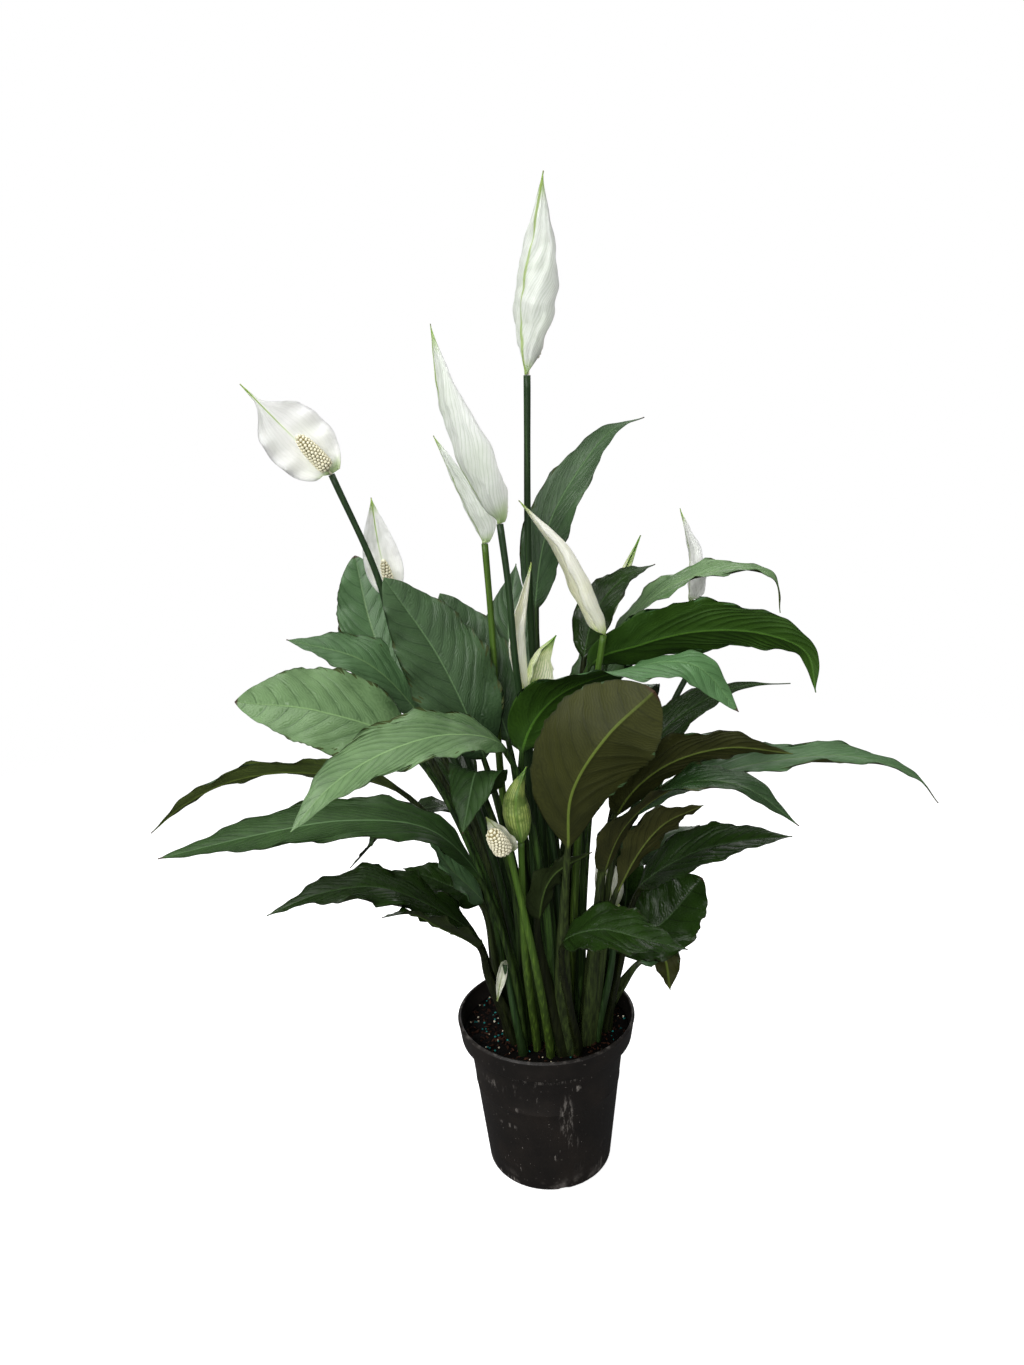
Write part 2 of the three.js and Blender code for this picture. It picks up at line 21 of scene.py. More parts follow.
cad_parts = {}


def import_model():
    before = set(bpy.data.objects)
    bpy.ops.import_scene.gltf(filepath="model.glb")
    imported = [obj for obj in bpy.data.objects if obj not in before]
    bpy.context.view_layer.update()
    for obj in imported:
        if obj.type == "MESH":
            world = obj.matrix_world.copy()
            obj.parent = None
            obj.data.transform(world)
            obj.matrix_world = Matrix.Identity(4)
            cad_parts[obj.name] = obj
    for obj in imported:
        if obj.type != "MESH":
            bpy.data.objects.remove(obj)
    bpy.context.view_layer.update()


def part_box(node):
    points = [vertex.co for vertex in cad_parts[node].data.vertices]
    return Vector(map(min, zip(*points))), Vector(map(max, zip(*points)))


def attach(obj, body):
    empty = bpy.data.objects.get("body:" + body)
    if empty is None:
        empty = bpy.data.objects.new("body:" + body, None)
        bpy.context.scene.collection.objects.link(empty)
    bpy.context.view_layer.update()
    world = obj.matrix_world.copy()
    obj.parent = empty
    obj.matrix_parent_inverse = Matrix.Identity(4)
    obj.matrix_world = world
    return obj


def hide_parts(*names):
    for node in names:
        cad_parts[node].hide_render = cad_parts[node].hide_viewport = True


LOG = logging.getLogger("peace_lily")

MM = 0.001
TURN = 2 * math.pi

Point = tuple[float, float, float]
Colour = tuple[float, float, float, float]
Ring = list[bmesh.types.BMVert]
Pair = tuple[bpy.types.Material, bpy.types.Material]
Socket = bpy.types.NodeSocket


def lerp(a: float, b: float, t: float) -> float:
    """The value at the share t of the way from a to b."""
    return a + (b - a) * t


def clamp(value: float, low: float = 0.0, high: float = 1.0) -> float:
    """The value, held between low and high."""
    return max(low, min(high, value))


def smooth(low: float, high: float, value: float) -> float:
    """A smooth step from 0 at low to 1 at high."""
    t = clamp((value - low) / (high - low))
    return t * t * (3 - 2 * t)


def colour(code: int) -> Colour:
    """A shader colour from a colour as it looks on a screen.

    Args:
        code: red, green and blue as one hexadecimal number.

    Returns:
        The linear colour with full opacity.
    """

    def linear(value: float) -> float:
        """One channel, from screen to linear light."""
        return value / 12.92 if value <= 0.04045 else ((value + 0.055) / 1.055) ** 2.4

    red, green, blue = (code >> 16) / 255, (code >> 8 & 255) / 255, (code & 255) / 255
    return linear(red), linear(green), linear(blue), 1.0


# ---- curves -----------------------------------------------------------------------------------


class Curve:
    """A centripetal Catmull-Rom curve through points, measured along its length."""

    STEPS = 200
    NUDGE = 1e-4
    SHORTEST = 1e-9

    def __init__(self, points: Sequence[Vector]) -> None:
        """Samples the curve to measure it.

        Args:
            points: the points that it passes.
        """
        self.points = [Vector(p) for p in points]
        places = [self.point(k / self.STEPS) for k in range(self.STEPS + 1)]
        self.lengths = [0.0]
        for before, after in zip(places, places[1:]):
            self.lengths.append(self.lengths[-1] + (after - before).length)

    @property
    def length(self) -> float:
        """The curve's whole length."""
        return self.lengths[-1]

    def point(self, t: float) -> Vector:
        """The point at the parameter t, from 0 to 1.

        Args:
            t: the parameter, which passes each control point after an equal step.

        Returns:
            The point.
        """
        last = len(self.points) - 1
        place = clamp(t) * last
        k = min(int(place), last - 1)
        w = place - k
        p1, p2 = self.points[k], self.points[k + 1]
        p0 = self.points[k - 1] if k > 0 else 2 * p1 - p2
        p3 = self.points[k + 2] if k + 2 <= last else 2 * p2 - p1
        d0, d1, d2 = ((b - a).length ** 0.5 for a, b in ((p0, p1), (p1, p2), (p2, p3)))
        t1 = ((p1 - p0) / d0 - (p2 - p0) / (d0 + d1) + (p2 - p1) / d1) * d1
        t2 = ((p2 - p1) / d1 - (p3 - p1) / (d1 + d2) + (p3 - p2) / d2) * d1
        square = 3 * (p2 - p1) - 2 * t1 - t2
        cube = 2 * (p1 - p2) + t1 + t2
        return p1 + w * (t1 + w * (square + w * cube))

    def tangent(self, t: float) -> Vector:
        """The unit tangent at the parameter t."""
        low, high = max(0.0, t - self.NUDGE), min(1.0, t + self.NUDGE)
        return (self.point(high) - self.point(low)).normalized()

    def parameter(self, share: float) -> float:
        """The parameter at a share of the curve's length.

        Args:
            share: the share, from 0 to 1.

        Returns:
            The parameter.
        """
        target = clamp(share) * self.length
        low, high = 0, self.STEPS
        while high - low > 1:
            middle = (low + high) // 2
            if self.lengths[middle] <= target:
                low = middle
            else:
                high = middle
        step = self.lengths[high] - self.lengths[low]
        return (low + (target - self.lengths[low]) / max(step, self.SHORTEST)) / self.STEPS

    def share(self, control: int) -> float:
        """The share of the length at which a control point lies.

        Args:
            control: the point's number, from 0.

        Returns:
            The share, from 0 to 1.
        """
        at = control / (len(self.points) - 1) * self.STEPS
        low = int(at)
        high = min(low + 1, self.STEPS)
        return lerp(self.lengths[low], self.lengths[high], at - low) / self.length


@dataclass(frozen=True)
class Frame:
    """A place on a shoot, with its direction, its side and the normal of its upper face."""

    at: Vector
    ahead: Vector
    side: Vector
    normal: Vector

    def offset(self, sideways: float, up: float) -> Vector:
        """The point that lies so far to the side and above the place."""
        return self.at + sideways * self.side + up * self.normal


def square_to(vector: Vector, axis: Vector) -> Vector:
    """The unit vector along the part of a vector that is square to an axis."""
    return (vector - axis * axis.dot(vector)).normalized()


def frame_on(curve: Curve, share: float, side: Vector, roll: float) -> Frame:
    """The frame at a share of a curve's length.

    Args:
        curve: the shoot's curve.
        share: share of its length.
        side: rough direction of the side.
        roll: turn about the curve's direction, in degrees.

    Returns:
        The frame.
    """
    t = curve.parameter(share)
    ahead = curve.tangent(t)
    across = Quaternion(ahead, math.radians(roll)) @ square_to(side, ahead)
    return Frame(curve.point(t), ahead, across, across.cross(ahead))


def outline(s: float, rise: float, fall: float) -> float:
    """Share of a blade's full half width at the share s of its length."""
    peak = rise / (rise + fall)
    return max(s, 0.0) ** rise * max(1 - s, 0.0) ** fall / (peak**rise * (1 - peak) ** fall)


# ---- meshes -----------------------------------------------------------------------------------


class Draft:
    """A mesh under way, with the attributes that its materials read.

    spot holds a point's share along its blade, its place across from -1 to 1, and its distance
    from the midrib in millimetres. vein counts side veins. hue is a random number of the piece.
    """

    MERGED = 1e-4
    BALL_AROUND = 8
    BALL_RINGS = 5

    def __init__(self) -> None:
        """Starts an empty mesh."""
        self.bm = bmesh.new()
        self.bm.verts.layers.float_vector.new("spot")
        self.bm.verts.layers.float.new("vein")
        self.bm.verts.layers.float.new("hue")
        self.spot = self.bm.verts.layers.float_vector["spot"]
        self.vein = self.bm.verts.layers.float["vein"]
        self.hue = self.bm.verts.layers.float["hue"]

    def tube(self, rows: int, around: int) -> list[Ring]:
        """Adds a closed tube, ready to be shaped ring by ring.

        Args:
            rows: stretches along the tube.
            around: faces round the tube.

        Returns:
            The rings of vertices, each in order of its angle.
        """
        before = len(self.bm.verts)
        made = bmesh.ops.create_cone(self.bm, cap_ends=True, segments=around, radius1=1, radius2=1,
                                     depth=rows)
        edges = {edge for vert in made["verts"] for edge in vert.link_edges}
        walls = [e for e in edges if abs(e.verts[0].co.z - e.verts[1].co.z) > rows / 2]
        bmesh.ops.subdivide_edges(self.bm, edges=walls, cuts=rows - 1, use_grid_fill=True)
        rings: list[Ring] = [[None] * around for _ in range(rows + 1)]
        for vert in list(self.bm.verts)[before:]:
            row = round(vert.co.z + rows / 2)
            column = round(math.atan2(vert.co.y, vert.co.x) / TURN * around) % around
            rings[row][column] = vert
        return rings

    def revolve(self, profile: Sequence[tuple[float, float]], steps: int) -> Ring:
        """Spins a profile about the Z axis into a closed body.

        Args:
            profile: points (radius, height), from one end on the axis to the other.
            steps: faces round the axis.

        Returns:
            The new vertices.
        """
        before = len(self.bm.verts)
        line = [self.bm.verts.new((radius, 0, height)) for radius, height in profile]
        edges = [self.bm.edges.new(pair) for pair in zip(line, line[1:])]
        bmesh.ops.spin(self.bm, geom=line + edges, cent=(0, 0, 0), axis=(0, 0, 1), angle=TURN,
                       steps=steps, use_merge=True)
        fresh = list(self.bm.verts)[before:]
        bmesh.ops.remove_doubles(self.bm, verts=fresh, dist=self.MERGED)
        return list(self.bm.verts)[before:]

    def ball(self, is_round: bool) -> Ring:
        """Adds a ball of radius 1 and a few dozen faces, to be stamped often and then dropped.

        Args:
            is_round: whether it has rings of faces, or only the 20 faces of an icosahedron.

        Returns:
            Its vertices.
        """
        if is_round:
            made = bmesh.ops.create_uvsphere(self.bm, u_segments=self.BALL_AROUND,
                                             v_segments=self.BALL_RINGS, radius=1)
        else:
            made = bmesh.ops.create_icosphere(self.bm, subdivisions=1, radius=1)
        return made["verts"]

    def stamp(self, pattern: Ring, place: Matrix) -> Ring:
        """Adds a copy of a small body.

        Args:
            pattern: its vertices.
            place: where its copy goes.

        Returns:
            The copy's vertices.
        """
        faces = dict.fromkeys(face for vert in pattern for face in vert.link_faces)
        made = bmesh.ops.duplicate(self.bm, geom=[*pattern, *faces])["geom"]
        fresh = [item for item in made if isinstance(item, bmesh.types.BMVert)]
        bmesh.ops.transform(self.bm, matrix=place, verts=fresh)
        return fresh

    def drop(self, pattern: Ring) -> None:
        """Removes a body that was only a pattern."""
        bmesh.ops.delete(self.bm, geom=pattern, context="VERTS")

    def finish(self, name: str, materials: Sequence[bpy.types.Material]) -> bpy.types.Object:
        """Turns the draft into an object in metres, with its faces pointing out.

        Args:
            name: the object's name.
            materials: its materials, in the order of the faces' numbers.

        Returns:
            The new object, which rides on the plant's only body.
        """
        bmesh.ops.recalc_face_normals(self.bm, faces=self.bm.faces)
        bmesh.ops.scale(self.bm, vec=(MM, MM, MM), verts=self.bm.verts)
        for face in self.bm.faces:
            face.smooth = True
        mesh = bpy.data.meshes.new(name)
        self.bm.to_mesh(mesh)
        self.bm.free()
        for material in materials:
            mesh.materials.append(material)
        piece = bpy.data.objects.new(name, mesh)
        bpy.context.scene.collection.objects.link(piece)
        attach(piece, "root")
        return piece


def arc(centre: tuple[float, float], radius: float, start: float, end: float,
        steps: int) -> list[tuple[float, float]]:
    """Points on a round stretch of a profile.

    Args:
        centre: its centre.
        radius: its radius.
        start: angle of its first point, in degrees.
        end: angle of its last point.
        steps: stretches between the points.

    Returns:
        The points, from the first to the last.
    """
    angles = [math.radians(lerp(start, end, k / steps)) for k in range(steps + 1)]
    return [(centre[0] + radius * math.cos(a), centre[1] + radius * math.sin(a)) for a in angles]


# ---- materials --------------------------------------------------------------------------------


class Pattern(NamedTuple):
    """Soft noise, and the smooth step that makes a share of it.

    scale is in features per metre, or one number for each axis of a stretched pattern. The share
    goes from start where the noise is at low to end where it is at high. turn is in radians.
    """

    scale: float | Point
    low: float = 0.0
    high: float = 1.0
    start: float = 0.0
    end: float = 1.0
    detail: float = 3.0
    rough: float = 0.5
    turn: Point = (0.0, 0.0, 0.0)

    @property
    def steps(self) -> tuple[float, ...]:
        """The numbers of its smooth step."""
        return self.low, self.high, self.start, self.end


class Palette:
    """A material's node tree, built from short calls.

    MIX_INPUTS and MIX_OUTPUT number the mixing node's sockets for a share and two colours.
    """

    MIX_INPUTS = (0, 6, 7)
    MIX_OUTPUT = 2

    def __init__(self, name: str) -> None:
        """Starts a material with one Principled shader.

        Args:
            name: the material's name.
        """
        self.material = bpy.data.materials.new(name)
        self.material.use_nodes = True
        self.tree = self.material.node_tree
        self.shader = self.tree.nodes["Principled BSDF"]
        self.place = self.node("ShaderNodeTexCoord").outputs["Object"]

    def node(self, kind: str, inputs: dict[str | int, object] | None = None,
             **settings: object) -> bpy.types.Node:
        """Adds a node.

        Args:
            kind: the node's type.
            inputs: values or sockets for its inputs, by name or number.
            settings: its own settings.

        Returns:
            The node.
        """
        made = self.tree.nodes.new(kind)
        for key, value in settings.items():
            setattr(made, key, value)
        for key, value in (inputs or {}).items():
            self.feed(made.inputs[key], value)
        return made

    def feed(self, socket: Socket, value: object) -> None:
        """Links a socket to an input, or sets the input's value.

        Args:
            socket: the input.
            value: a socket, or a plain value.
        """
        if isinstance(value, Socket):
            self.tree.links.new(value, socket)
        else:
            socket.default_value = value

    def math(self, operation: str, *values: object) -> Socket:
        """The result of a sum on numbers or sockets."""
        return self.node("ShaderNodeMath", dict(enumerate(values)), operation=operation).outputs[0]

    def scale(self, value: object, factor: float, plus: object = 0.0) -> Socket:
        """A value times a factor, with another value added."""
        return self.math("MULTIPLY_ADD", value, factor, plus)

    def product(self, first: object, *others: object) -> Socket:
        """The product of sockets."""
        return reduce(lambda held, value: self.math("MULTIPLY", held, value), others, first)

    def largest(self, first: object, *others: object) -> Socket:
        """The largest of sockets."""
        return reduce(lambda held, value: self.math("MAXIMUM", held, value), others, first)

    def zigzag(self, value: object) -> Socket:
        """The distance from the nearest whole number, as a share of the farthest."""
        return self.scale(self.math("PINGPONG", value, 0.5), 2)

    def step(self, value: object, low: float, high: float, start: float = 0.0,
             end: float = 1.0) -> Socket:
        """A smooth step of a value.

        Args:
            value: the value.
            low: where the step begins.
            high: where it ends.
            start: the result at low and below it.
            end: the result at high and above it.

        Returns:
            The result's socket.
        """
        made = self.node("ShaderNodeMapRange", {"Value": value, "From Min": low, "From Max": high,
                                                "To Min": start, "To Max": end},
                         interpolation_type="SMOOTHSTEP")
        return made.outputs["Result"]

    def mix(self, share: object, first: object, second: object) -> Socket:
        """A colour mixed from two.

        Args:
            share: share of the second one.
            first: a socket, a shader colour, or a screen colour as one whole number.
            second: the other one.

        Returns:
            The mixed colour's socket.
        """
        sides = (colour(side) if isinstance(side, int) else side for side in (first, second))
        made = self.node("ShaderNodeMix", data_type="RGBA")
        for place, value in zip(self.MIX_INPUTS, (share, *sides)):
            self.feed(made.inputs[place], value)
        return made.outputs[self.MIX_OUTPUT]

    def coats(self, face: object, *coats: tuple[object, object]) -> Socket:
        """A colour with others laid over it in turn, each by its share."""
        return reduce(lambda held, coat: self.mix(coat[0], held, coat[1]), coats, face)

    def grain(self, pattern: Pattern) -> Socket:
        """A pattern's plain noise.

        Args:
            pattern: the pattern.

        Returns:
            The noise's socket.
        """
        scale, place = pattern.scale, self.place
        if isinstance(scale, tuple):
            place = self.node("ShaderNodeMapping", {"Vector": place, "Scale": scale,
                                                    "Rotation": pattern.turn}).outputs["Vector"]
            scale = 1.0
        return self.node("ShaderNodeTexNoise", {"Vector": place, "Scale": scale,
                                                "Detail": pattern.detail,
                                                "Roughness": pattern.rough}).outputs["Fac"]

    def share(self, pattern: Pattern) -> Socket:
        """A pattern's share at each point."""
        return self.step(self.grain(pattern), *pattern.steps)

    def number(self, name: str) -> Socket:
        """A number that the mesh holds at each point."""
        return self.node("ShaderNodeAttribute", attribute_name=name).outputs["Fac"]

    def parts(self, vector: Socket) -> tuple[Socket, ...]:
        """A vector's three numbers."""
        return tuple(self.node("ShaderNodeSeparateXYZ", {"Vector": vector}).outputs)

    def spot(self) -> tuple[Socket, ...]:
        """The mesh's place along, place across and distance from the midrib."""
        held = self.node("ShaderNodeAttribute", attribute_name="spot")
        return self.parts(held.outputs["Vector"])

    def bump(self, height: object, depth: float, strength: float = 1.0) -> None:
        """Raises the surface.

        Args:
            height: how high each point is, from 0 to 1.
            depth: the height of 1, in metres.
            strength: how strongly it shows.
        """
        made = self.node("ShaderNodeBump", {"Height": height, "Distance": depth,
                                            "Strength": strength})
        self.feed(self.shader.inputs["Normal"], made.outputs["Normal"])

    def dress(self, base: object, rough: object, **sockets: object) -> bpy.types.Material:
        """Finishes the material.

        Args:
            base: its colour.
            rough: its roughness.
            sockets: values for the shader's other inputs, with underscores for spaces.

        Returns:
            The material.
        """
        values = {"Base_Color": base, "Roughness": rough, **sockets}
        for name, value in values.items():
            self.feed(self.shader.inputs[name.replace("_", " ")], value)
        return self.material


@dataclass(frozen=True)
class LeafFinish:
    """Colours of one kind of leaf, and the gloss and shine of its upper face.

    The patterns and steps are the same for every kind. A step is its low and high end, and its
    values there. Widths are in millimetres, and the relief's depth is in metres.
    """

    name: str
    upper: int
    upper_light: int
    under: int
    under_light: int
    rib: int
    under_rib: int
    stem: int
    stem_light: int
    gloss: float = 0.38
    shine: float = 0.34

    MOTTLE = Pattern(38, 0.32, 0.68, detail=4, rough=0.6)
    MOTTLE_TINT = 0.4
    HUE_TINT = 0.2
    # painted shade: the blade is darker towards its foot, under the leaves above it
    FOOT_SHADE = 0.4
    LENGTH = (0, 0.6)
    # painted shade in the grooves of the side veins, and their darker colour on the under face
    VEIN = (0.01, 0.13, 1, 0)
    VEIN_FADE = (0.55, 0.98, 1, 0)
    VEIN_COLOUR_AND_SHADE = 0.55
    # painted highlight on the puffs between the side veins
    CREST_HIGHLIGHT = (0.3, 1.0, 0, 0.3)
    FINE_VEINS = 6
    FINE = (-0.6, 1, 0, 0.3)
    BREAKS = Pattern(110, detail=2)
    BREAK_WIDTH = 0.6
    RIB_WIDTH = 0.9
    UNDER_RIB_WIDTH = 1.5
    RIB_CORE = 0.45
    RIB_FADE = (0.55, 1.0, 0.85, 0.3)
    MARGIN = (0.95, 0.99, 0, 0.5)
    TIP = (0.978, 0.992)
    BURNT_LEAVES = (0.35, 0.55)
    BURNT = 0x3B2A1A
    STREAK = Pattern((420, 420, 22), 0.35, 0.7, rough=0.6)
    BLADE_FROM = (-0.01, 0.05)
    BLUR = Pattern(90)
    UPPER_BLUR = 0.2
    UNDER_BLUR = 0.15
    UNDER_ROUGH = 0.5
    UNDER_SHINE = 0.16
    GRAIN = Pattern(900, detail=2)
    FINE_RELIEF = 0.5
    GRAIN_RELIEF = 0.3
    VEIN_RELIEF = -0.4
    DEPTH = 0.00022
    STRENGTH = 0.8

    def fine_veins(self, palette: Palette, vein: Socket) -> Socket:
        """A wave whose crests are the finer veins.

        Args:
            palette: the leaf's palette.
            vein: the count of side veins, between which they run.

        Returns:
            The wave's socket, from -1 to 1.
        """
        broken = palette.scale(palette.grain(self.BREAKS), self.BREAK_WIDTH)
        turned = palette.scale(palette.math("ADD", vein, broken), self.FINE_VEINS * TURN)
        return palette.math("SINE", turned)

    def face(self, is_upper: bool) -> bpy.types.Material:
        """The material of the upper or the under face.

        Args:
            is_upper: whether it is the upper face.

        Returns:
            The material.
        """
        palette = Palette(f"{self.name}_{'upper' if is_upper else 'under'}")
        dark, light, rib, rib_width = (
            (self.upper, self.upper_light, self.rib, self.RIB_WIDTH) if is_upper else
            (self.under, self.under_light, self.under_rib, self.UNDER_RIB_WIDTH))
        along, across, from_rib = palette.spot()
        out = palette.math("ABSOLUTE", across)
        vein, hue = palette.number("vein"), palette.number("hue")
        from_vein = palette.zigzag(vein)
        line = palette.product(palette.step(from_vein, *self.VEIN),
                               palette.step(out, *self.VEIN_FADE))
        fine = self.fine_veins(palette, vein)
        midrib = palette.product(palette.step(along, *self.RIB_FADE),
                                 palette.step(from_rib, self.RIB_CORE * rib_width, rib_width,
                                              1, 0))
        burnt = palette.product(palette.step(along, *self.TIP),
                                palette.step(hue, *self.BURNT_LEAVES))
        tint = palette.scale(palette.share(self.MOTTLE), self.MOTTLE_TINT,
                             palette.scale(hue, self.HUE_TINT))
        # painted shade: darker towards the blade's foot
        tint = palette.scale(palette.step(along, *self.LENGTH), self.FOOT_SHADE, tint)
        blade = palette.coats(
            palette.mix(tint, dark, light),
            # painted highlight on the puffs between the veins
            (palette.step(from_vein, *self.CREST_HIGHLIGHT), light),
            (palette.step(fine, *self.FINE), light if is_upper else dark),
            # painted shade in the vein grooves, and the veins' darker colour on the under face
            (palette.scale(line, self.VEIN_COLOUR_AND_SHADE), dark),
            (midrib, rib),
            (palette.step(out, *self.MARGIN), self.stem),
            (burnt, self.BURNT))
        stem = palette.mix(palette.share(self.STREAK), self.stem, self.stem_light)
        face = palette.mix(palette.step(along, *self.BLADE_FROM), stem, blade)
        blur, rough, shine = (
            (self.UPPER_BLUR, self.gloss - self.UPPER_BLUR / 2, self.shine) if is_upper else
            (self.UNDER_BLUR, self.UNDER_ROUGH, self.UNDER_SHINE))
        relief = palette.scale(palette.step(fine, -1, 1), self.FINE_RELIEF,
                               palette.scale(palette.grain(self.GRAIN), self.GRAIN_RELIEF))
        palette.bump(palette.scale(line, self.VEIN_RELIEF, relief), self.DEPTH, self.STRENGTH)
        return palette.dress(face, palette.scale(palette.grain(self.BLUR), blur, rough),
                             Specular_IOR_Level=shine)

    def pair(self) -> Pair:
        """The materials of the upper and the under face."""
        return self.face(True), self.face(False)


class LeafKind(Enum):
    """Lit and shaded copies of the leaf colours, from the lit top to the dark middle."""

    # painted light and sheen: the colours of the top leaves, lightened where light falls on them
    LIT_SHEEN = LeafFinish("leaf_lit_sheen", 0x1F331C, 0x405A38, 0x2E361A, 0x454E2A, 0x5A784E,
                         0x637636, 0x18240F, 0x2F441B)
    # painted shade: the colours of the leaves that lie under others, darkened
    SHADED = LeafFinish("leaf_shaded", 0x12220D, 0x334F25, 0x1C2C0E, 0x2E421A, 0x56744A, 0x4E6E2C,
                       0x17230E, 0x32461A, 0.42, 0.2)
    SUNLIT = LeafFinish("leaf_sunlit", 0x2E4A26, 0x6C8A5C, 0x303A1A, 0x444F28, 0x789862, 0x6C843E,
                        0x1C2C15, 0x3E5A25)
    # painted shade: the darkest colours, for the leaves in the plant's dark middle
    DEEP_SHADE = LeafFinish("leaf_deep_shade", 0x0E1906, 0x233A12, 0x1A240C, 0x2B3618, 0x3A522C, 0x4A602A,
                      0x101407, 0x20260F, 0.27, 0.24)
    # painted light: a backlit glow painted into the undersides of the leaves over the front
    BACKLIT = LeafFinish("leaf_backlit", 0x284821, 0x52784A, 0x223C0E, 0x345416, 0x628850, 0x4E7828,
                       0x17240F, 0x324C1E)
    # painted shade: these three kinds have undersides painted the olive brown of shade
    SHADED_TAWNY = LeafFinish("leaf_shaded_tawny", 0x101E0C, 0x284220, 0x262A12, 0x42431F, 0x4E6A40, 0x6C7C38,
                       0x202815, 0x3C4A23, 0.26, 0.4)
    SHADED_MOSSY = LeafFinish("leaf_shaded_mossy", 0x213A1D, 0x466440, 0x30401A, 0x5A6A30, 0x628050, 0x74883C,
                       0x202815, 0x3C4A23, 0.35)
    SHADED_OLIVE = LeafFinish("leaf_shaded_olive", 0x264222, 0x507048, 0x22260E, 0x3A3D19, 0x628050, 0x6A7C34,
                       0x202815, 0x3C4A23, 0.4)


@dataclass(frozen=True)
class BractFinish:
    """Colours of one kind of bract, and how far its green runs in from the tip and the foot.

    stripes is the strength of its green stripes, and veined that of its veins. Steps, widths and
    depths are given as for the leaves, except the subsurface radius, which is in metres.
    """

    name: str
    base: int
    shade: int
    green: int
    rib: int
    tip_from: float = 0.84
    foot_to: float = 0.1
    stripes: float = 0.0
    veined: float = 0.42

    STREAKS = 9.0
    WOBBLE = Pattern(60)
    WOBBLE_WIDTH = 0.9
    VEIN = (0.0, 0.42, 1, 0)
    CLOUD = Pattern(32, 0.35, 0.75, detail=4, rough=0.6)
    CLOUD_SHADE = 0.35
    PATCH = Pattern(70, 0.42, 0.62, detail=4, rough=0.7)
    STRIPE = (0.1, 0.5, 1, 0)
    TIP_FULL = 0.85
    TIP_GREEN = 0.95
    FOOT_GREEN = 0.75
    RIB_FROM = 0.35
    RIB_TO = 0.8
    OUTER_RIB_TO = 1.3
    RIB_GREEN = 0.85
    INNER_RIB = (0.35, 0.7, 0.3, 1)
    BURN = (0.985, 0.996, 0, 0.8)
    BURNT = 0x5A5630
    DEPTH = 0.0004
    STRENGTH = 0.8
    GLOW_RADIUS = (0.003, 0.003, 0.003)
    GLOW_SCALE = 0.5
    BLUR = 0.12
    ROUGH = 0.46

    def face(self, is_inner: bool) -> bpy.types.Material:
        """The material of the inside or the outside of the bract.

        Args:
            is_inner: whether it is the inside.

        Returns:
            The material.
        """
        palette = Palette(f"{self.name}_{'inside' if is_inner else 'outside'}")
        along, _, from_rib = palette.spot()
        wobble = palette.scale(palette.grain(self.WOBBLE), self.WOBBLE_WIDTH)
        ridge = palette.zigzag(palette.scale(palette.number("vein"), self.STREAKS, wobble))
        cloud = palette.share(self.CLOUD)
        face = palette.coats(
            palette.mix(palette.scale(cloud, self.CLOUD_SHADE), self.base, self.shade),
            (palette.scale(palette.step(ridge, *self.VEIN), self.veined), self.shade))
        if self.stripes:
            stripe = palette.largest(palette.step(ridge, *self.STRIPE), palette.share(self.PATCH))
            face = palette.mix(palette.scale(stripe, self.stripes), face, self.green)
        tip_to = lerp(self.tip_from, 1.0, self.TIP_FULL)
        ends = palette.largest(palette.step(along, self.tip_from, tip_to, 0, self.TIP_GREEN),
                               palette.step(along, 0.0, self.foot_to, self.FOOT_GREEN, 0))
        rib_to = self.RIB_TO if is_inner else self.OUTER_RIB_TO
        rib = palette.step(from_rib, self.RIB_FROM, rib_to, self.RIB_GREEN, 0)
        if is_inner:
            rib = palette.product(rib, palette.step(along, *self.INNER_RIB))
        face = palette.coats(face, (ends, self.green), (rib, self.rib),
                             (palette.step(along, *self.BURN), self.BURNT))
        palette.bump(ridge, self.DEPTH, self.STRENGTH * self.veined)
        return palette.dress(face, palette.scale(cloud, self.BLUR, self.ROUGH),
                             Subsurface_Weight=1.0, Subsurface_Radius=self.GLOW_RADIUS,
                             Subsurface_Scale=self.GLOW_SCALE)

    def pair(self) -> Pair:
        """The materials of the inside and the outside."""
        return self.face(True), self.face(False)


class BractKind(Enum):
    """The kinds of bract: open and white, rolled and creamy, in green bud, and withered."""

    WHITE = BractFinish("bract_white", 0xF6FAF0, 0xDCE3D4, 0x86A644, 0x9AB652, 0.8, veined=0.25)
    # painted shade: the white bract darkened for the blooms that stand in shade
    SHADED_WHITE = BractFinish("bract_shaded_white", 0xD9DED6, 0xA9B39F, 0x86A644, 0x90A850, veined=0.5)
    CREAM = BractFinish("bract_cream", 0xFFFFE6, 0xDEDEBA, 0x8CAA48, 0xA8BC68, 0.86, 0.12)
    STRIPED = BractFinish("bract_striped", 0xFDFDDC, 0xD4E27C, 0x6E9C26, 0x608E24, 0.66, 0.2, 0.5)
    # the green bud's own colour, darkened with painted shade
    GREEN = BractFinish("bract_green_shaded", 0xACBC6A, 0x6C8A36, 0x40621A, 0x5C8028, 0.72, 0.3, 0.75)
    FADED = BractFinish("bract_faded", 0xE6E8D8, 0xB4B89C, 0x7A8C48, 0x8C9C5C, 0.75, 0.25, 0.2)


